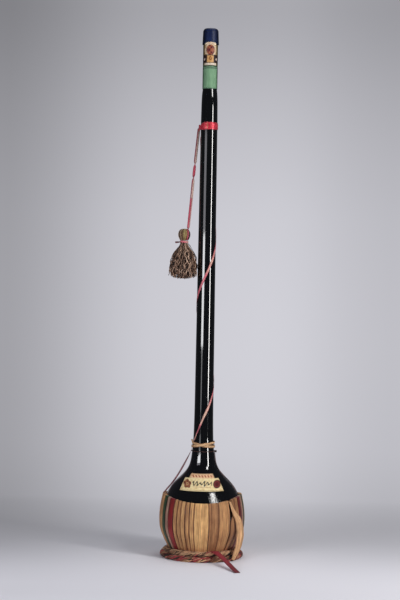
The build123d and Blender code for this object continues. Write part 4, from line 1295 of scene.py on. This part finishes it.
def labelPaper():
    # a plain flower, a flourish of loops and a round seal
    paint, x, z, grain = grainyPaper("label_paper", label["label"])
    emblem = label["emblem"]
    bearing = (z - emblem[1]).calc("ARCTAN2", x - emblem[0])
    heart = oval(x, z, emblem, 0.0094, 0.0094)
    petals = (bearing * 5.0).calc("SINE") * 0.10 + 0.86
    mottle = paint.noise((420, 420, 420), detail=1.0)
    paint.over((petals - heart).share(-0.05, 0.05),
               paint.ramp(mottle, (0.42, (0.085, 0.012, 0.010)), (0.58, (0.36, 0.13, 0.06))))
    paint.over(heart.band(0.18, 0.30, 0.05), (0.72, 0.46, 0.24))
    slant = z * -380.0 + x * 800.0
    swell = (x * 310.0).calc("SINE") * 0.0012 + 0.0027
    wave = slant.calc("SINE") * swell + 0.1662
    steep = slant.calc("COSINE") * swell * 800.0
    stroke = abs(z - wave) / (steep * steep + 1.0).calc("SQRT")
    paint.over(stroke.band(-1.0, 0.00112, 0.00025) * x.band(-0.0222, 0.0205, 0.0006) * 0.97, (0.008, 0.005, 0.007))
    paint.over(z.band(0.1592, 0.1600, 0.0002) * x.band(-0.020, 0.019, 0.001) * 0.7, (0.30, 0.10, 0.05))  # fine line
    disc = oval(x, z, label["roundSeal"], 0.0086, 0.0086)
    paint.over(disc.band(-1.0, 0.95, 0.06), (0.080, 0.006, 0.009))
    paint.over(disc.band(0.50, 0.66, 0.05), (0.22, 0.035, 0.030))
    return paint.done(grain, 0.0003, 0.35)


def bannerPaper():
    # a row of plain beads
    paint, x, z, grain = grainyPaper("banner_paper", label["banner"])
    beads = (z * 500.0 + x * 960.0).calc("SINE").band(0.15, 2.0, 0.2)
    row = z.band(0.1782, 0.1826, 0.0005) * x.band(-0.0228, 0.0200, 0.001)
    paint.over(beads * row * 0.95, (0.34, 0.05, 0.018))
    return paint.done(grain, 0.0003, 0.35)


blackGlass = darkGlass()
addGlass(blackGlass)
coat("glass_flask_mouth", blackGlass)
coat("wine", redWine())
coat("cork", corkBark())
coat("capsule", blueCapsule())
addPaper("pasted_label", label["label"], labelPaper(), "label_paper", "shoulder_label")
addPaper("pasted_banner", label["banner"], bannerPaper(), "banner_paper", "label_banner")
coat("basket_floor", crossedStraw())
print("packed pieces finished")


# Stage: a pale seamless sheet, and softboxes that give the neck its two long highlights; metres
studio = {
    "floorFront": -2.6, "bend": 1.3, "bendRadius": 1.0, "bendSteps": 12, "top": 3.4, "halfWidth": 1.15,
    "tint": (0.99, 0.985, 1.065), "floorLight": 0.64,
    # brightness by slope of the sight line, and its falling off to the sides by place across
    "rise": [(-0.212, 0.54), (-0.196, 0.61), (-0.184, 0.54), (-0.174, 0.47), (-0.160, 0.48), (-0.146, 0.57),
             (-0.110, 0.64), (-0.030, 0.655), (0.045, 0.62), (0.092, 0.56), (0.138, 0.49), (0.185, 0.39)],
    "sides": [(-0.135, 0.54), (-0.099, 0.68), (-0.065, 0.86), (-0.038, 0.93), (0.030, 1.0), (0.060, 0.985),
              (0.090, 0.88), (0.125, 0.81)],
    "worldColour": (0.85, 0.88, 1.0), "worldStrength": 0.06,
    "lamps": [
        # name, place, the point it looks at, width, height, power, colour
        ("key_right", at(1.60, -40, 0.725), (0, 0, 0.725), 0.18, 0.99, 22.0, (1.0, 0.985, 0.96)),
        ("key_left_low", at(1.70, -129, 0.59), (0, 0, 0.59), 0.80, 0.38, 9.0, (0.97, 0.98, 1.0)),
        ("key_left_foot", at(1.70, -128, 0.310), (0, 0, 0.310), 0.30, 0.22, 2.0, (0.97, 0.98, 1.0)),
        ("key_left_high", at(1.70, -131, 0.955), (0, 0, 0.955), 0.90, 0.33, 1.9, (0.95, 0.93, 1.0)),
        ("top_box", (0.2, 0.3, 2.9), (0, 0.3, 0), 2.0, 1.6, 2.2, (1, 1, 1)),
        ("high_right_box", (1.03, -1.15, 1.57), (0, 0, 0.14), 0.38, 0.50, 12.0, (1.0, 0.99, 0.97)),
    ],
}


def smoothRamp(source, stops):
    # a soft grey course through stops given in the source's own units
    low, high = stops[0][0], stops[-1][0]
    shares = [((place - low) / (high - low), grey) for place, grey in stops]
    made = source.finish.ramp(source.share(low, high), *shares)
    made.socket.node.color_ramp.interpolation = "B_SPLINE"
    return made


def sheetPaper():
    # painted with a broad glow behind the neck, darker toward the top and the left
    paint = Finish("seamless_paper", 0.95, 0.05)
    x, y, z = paint.places()
    away = y + view["distance"]
    slope = (z - view["height"]) / away
    even = slope.share(-0.205, -0.150, 0.85, 0.0)
    sides = paint.mixed(even, smoothRamp(x / away, studio["sides"]), 1.0)
    glow = paint.mixed(1.0, smoothRamp(slope, studio["rise"]), sides, "MULTIPLY")
    glow = paint.mixed(1.0, glow, studio["tint"], "MULTIPLY")
    paint.colour = paint.mixed(1.0, glow, 1 / studio["floorLight"], "MULTIPLY")
    camera, glossy, clear = (paint.node("LightPath", output="Is %s Ray" % kind)
                             for kind in ("Camera", "Glossy", "Transmission"))
    seen = camera.calc("MAXIMUM", glossy.calc("MAXIMUM", clear))
    glowing = paint.node("Emission", {"Color": glow, "Strength": 1.0})
    paper = Value(paint, paint.shader.outputs[0])
    both = paint.node("MixShader", {0: seen * slope.share(-0.178, -0.146), 1: paper, 2: glowing})
    paint.tree.links.new(both.socket, paint.tree.nodes["Material Output"].inputs["Surface"])
    return paint.done()


def addStage():
    bend, radius, wide = studio["bend"], studio["bendRadius"], studio["halfWidth"]
    turns = [radians(90 * (step + 1) / studio["bendSteps"]) for step in range(studio["bendSteps"])]
    line = [(studio["floorFront"], 0.0), (bend, 0.0),
            *((bend + radius * sin(turn), radius * (1 - cos(turn))) for turn in turns),
            (bend + radius, studio["top"])]
    mesh = bpy.data.meshes.new("seamless_sheet")
    mesh.from_pydata([(x, y, z) for y, z in line for x in (-wide, wide)], [],
                     [(2 * i, 2 * i + 1, 2 * i + 3, 2 * i + 2) for i in range(len(line) - 1)])
    mesh.polygons.foreach_set("use_smooth", [True] * len(mesh.polygons))
    mesh.materials.append(sheetPaper())
    addObject("seamless_sheet", mesh)


def addLamp(name, place, target, width, tall, power, colour):
    data = bpy.data.lights.new(name, "AREA")
    data.shape = "RECTANGLE"
    data.size, data.size_y = width, tall
    data.energy = power * width * tall * pi
    data.color = colour
    lamp = addObject(name, data)
    lamp.location = place
    lamp.rotation_euler = (Vector(target) - Vector(place)).to_track_quat("-Z", "Y").to_euler()


addStage()
for lamp in studio["lamps"]:
    addLamp(*lamp)
world = bpy.data.worlds.new("studio")
world.use_nodes = True
world.node_tree.nodes["Background"].inputs["Color"].default_value = full(studio["worldColour"])
world.node_tree.nodes["Background"].inputs["Strength"].default_value = studio["worldStrength"]
bpy.context.scene.world = world
bpy.context.scene.view_settings.view_transform = "Standard"
print("stage and lamps ready")
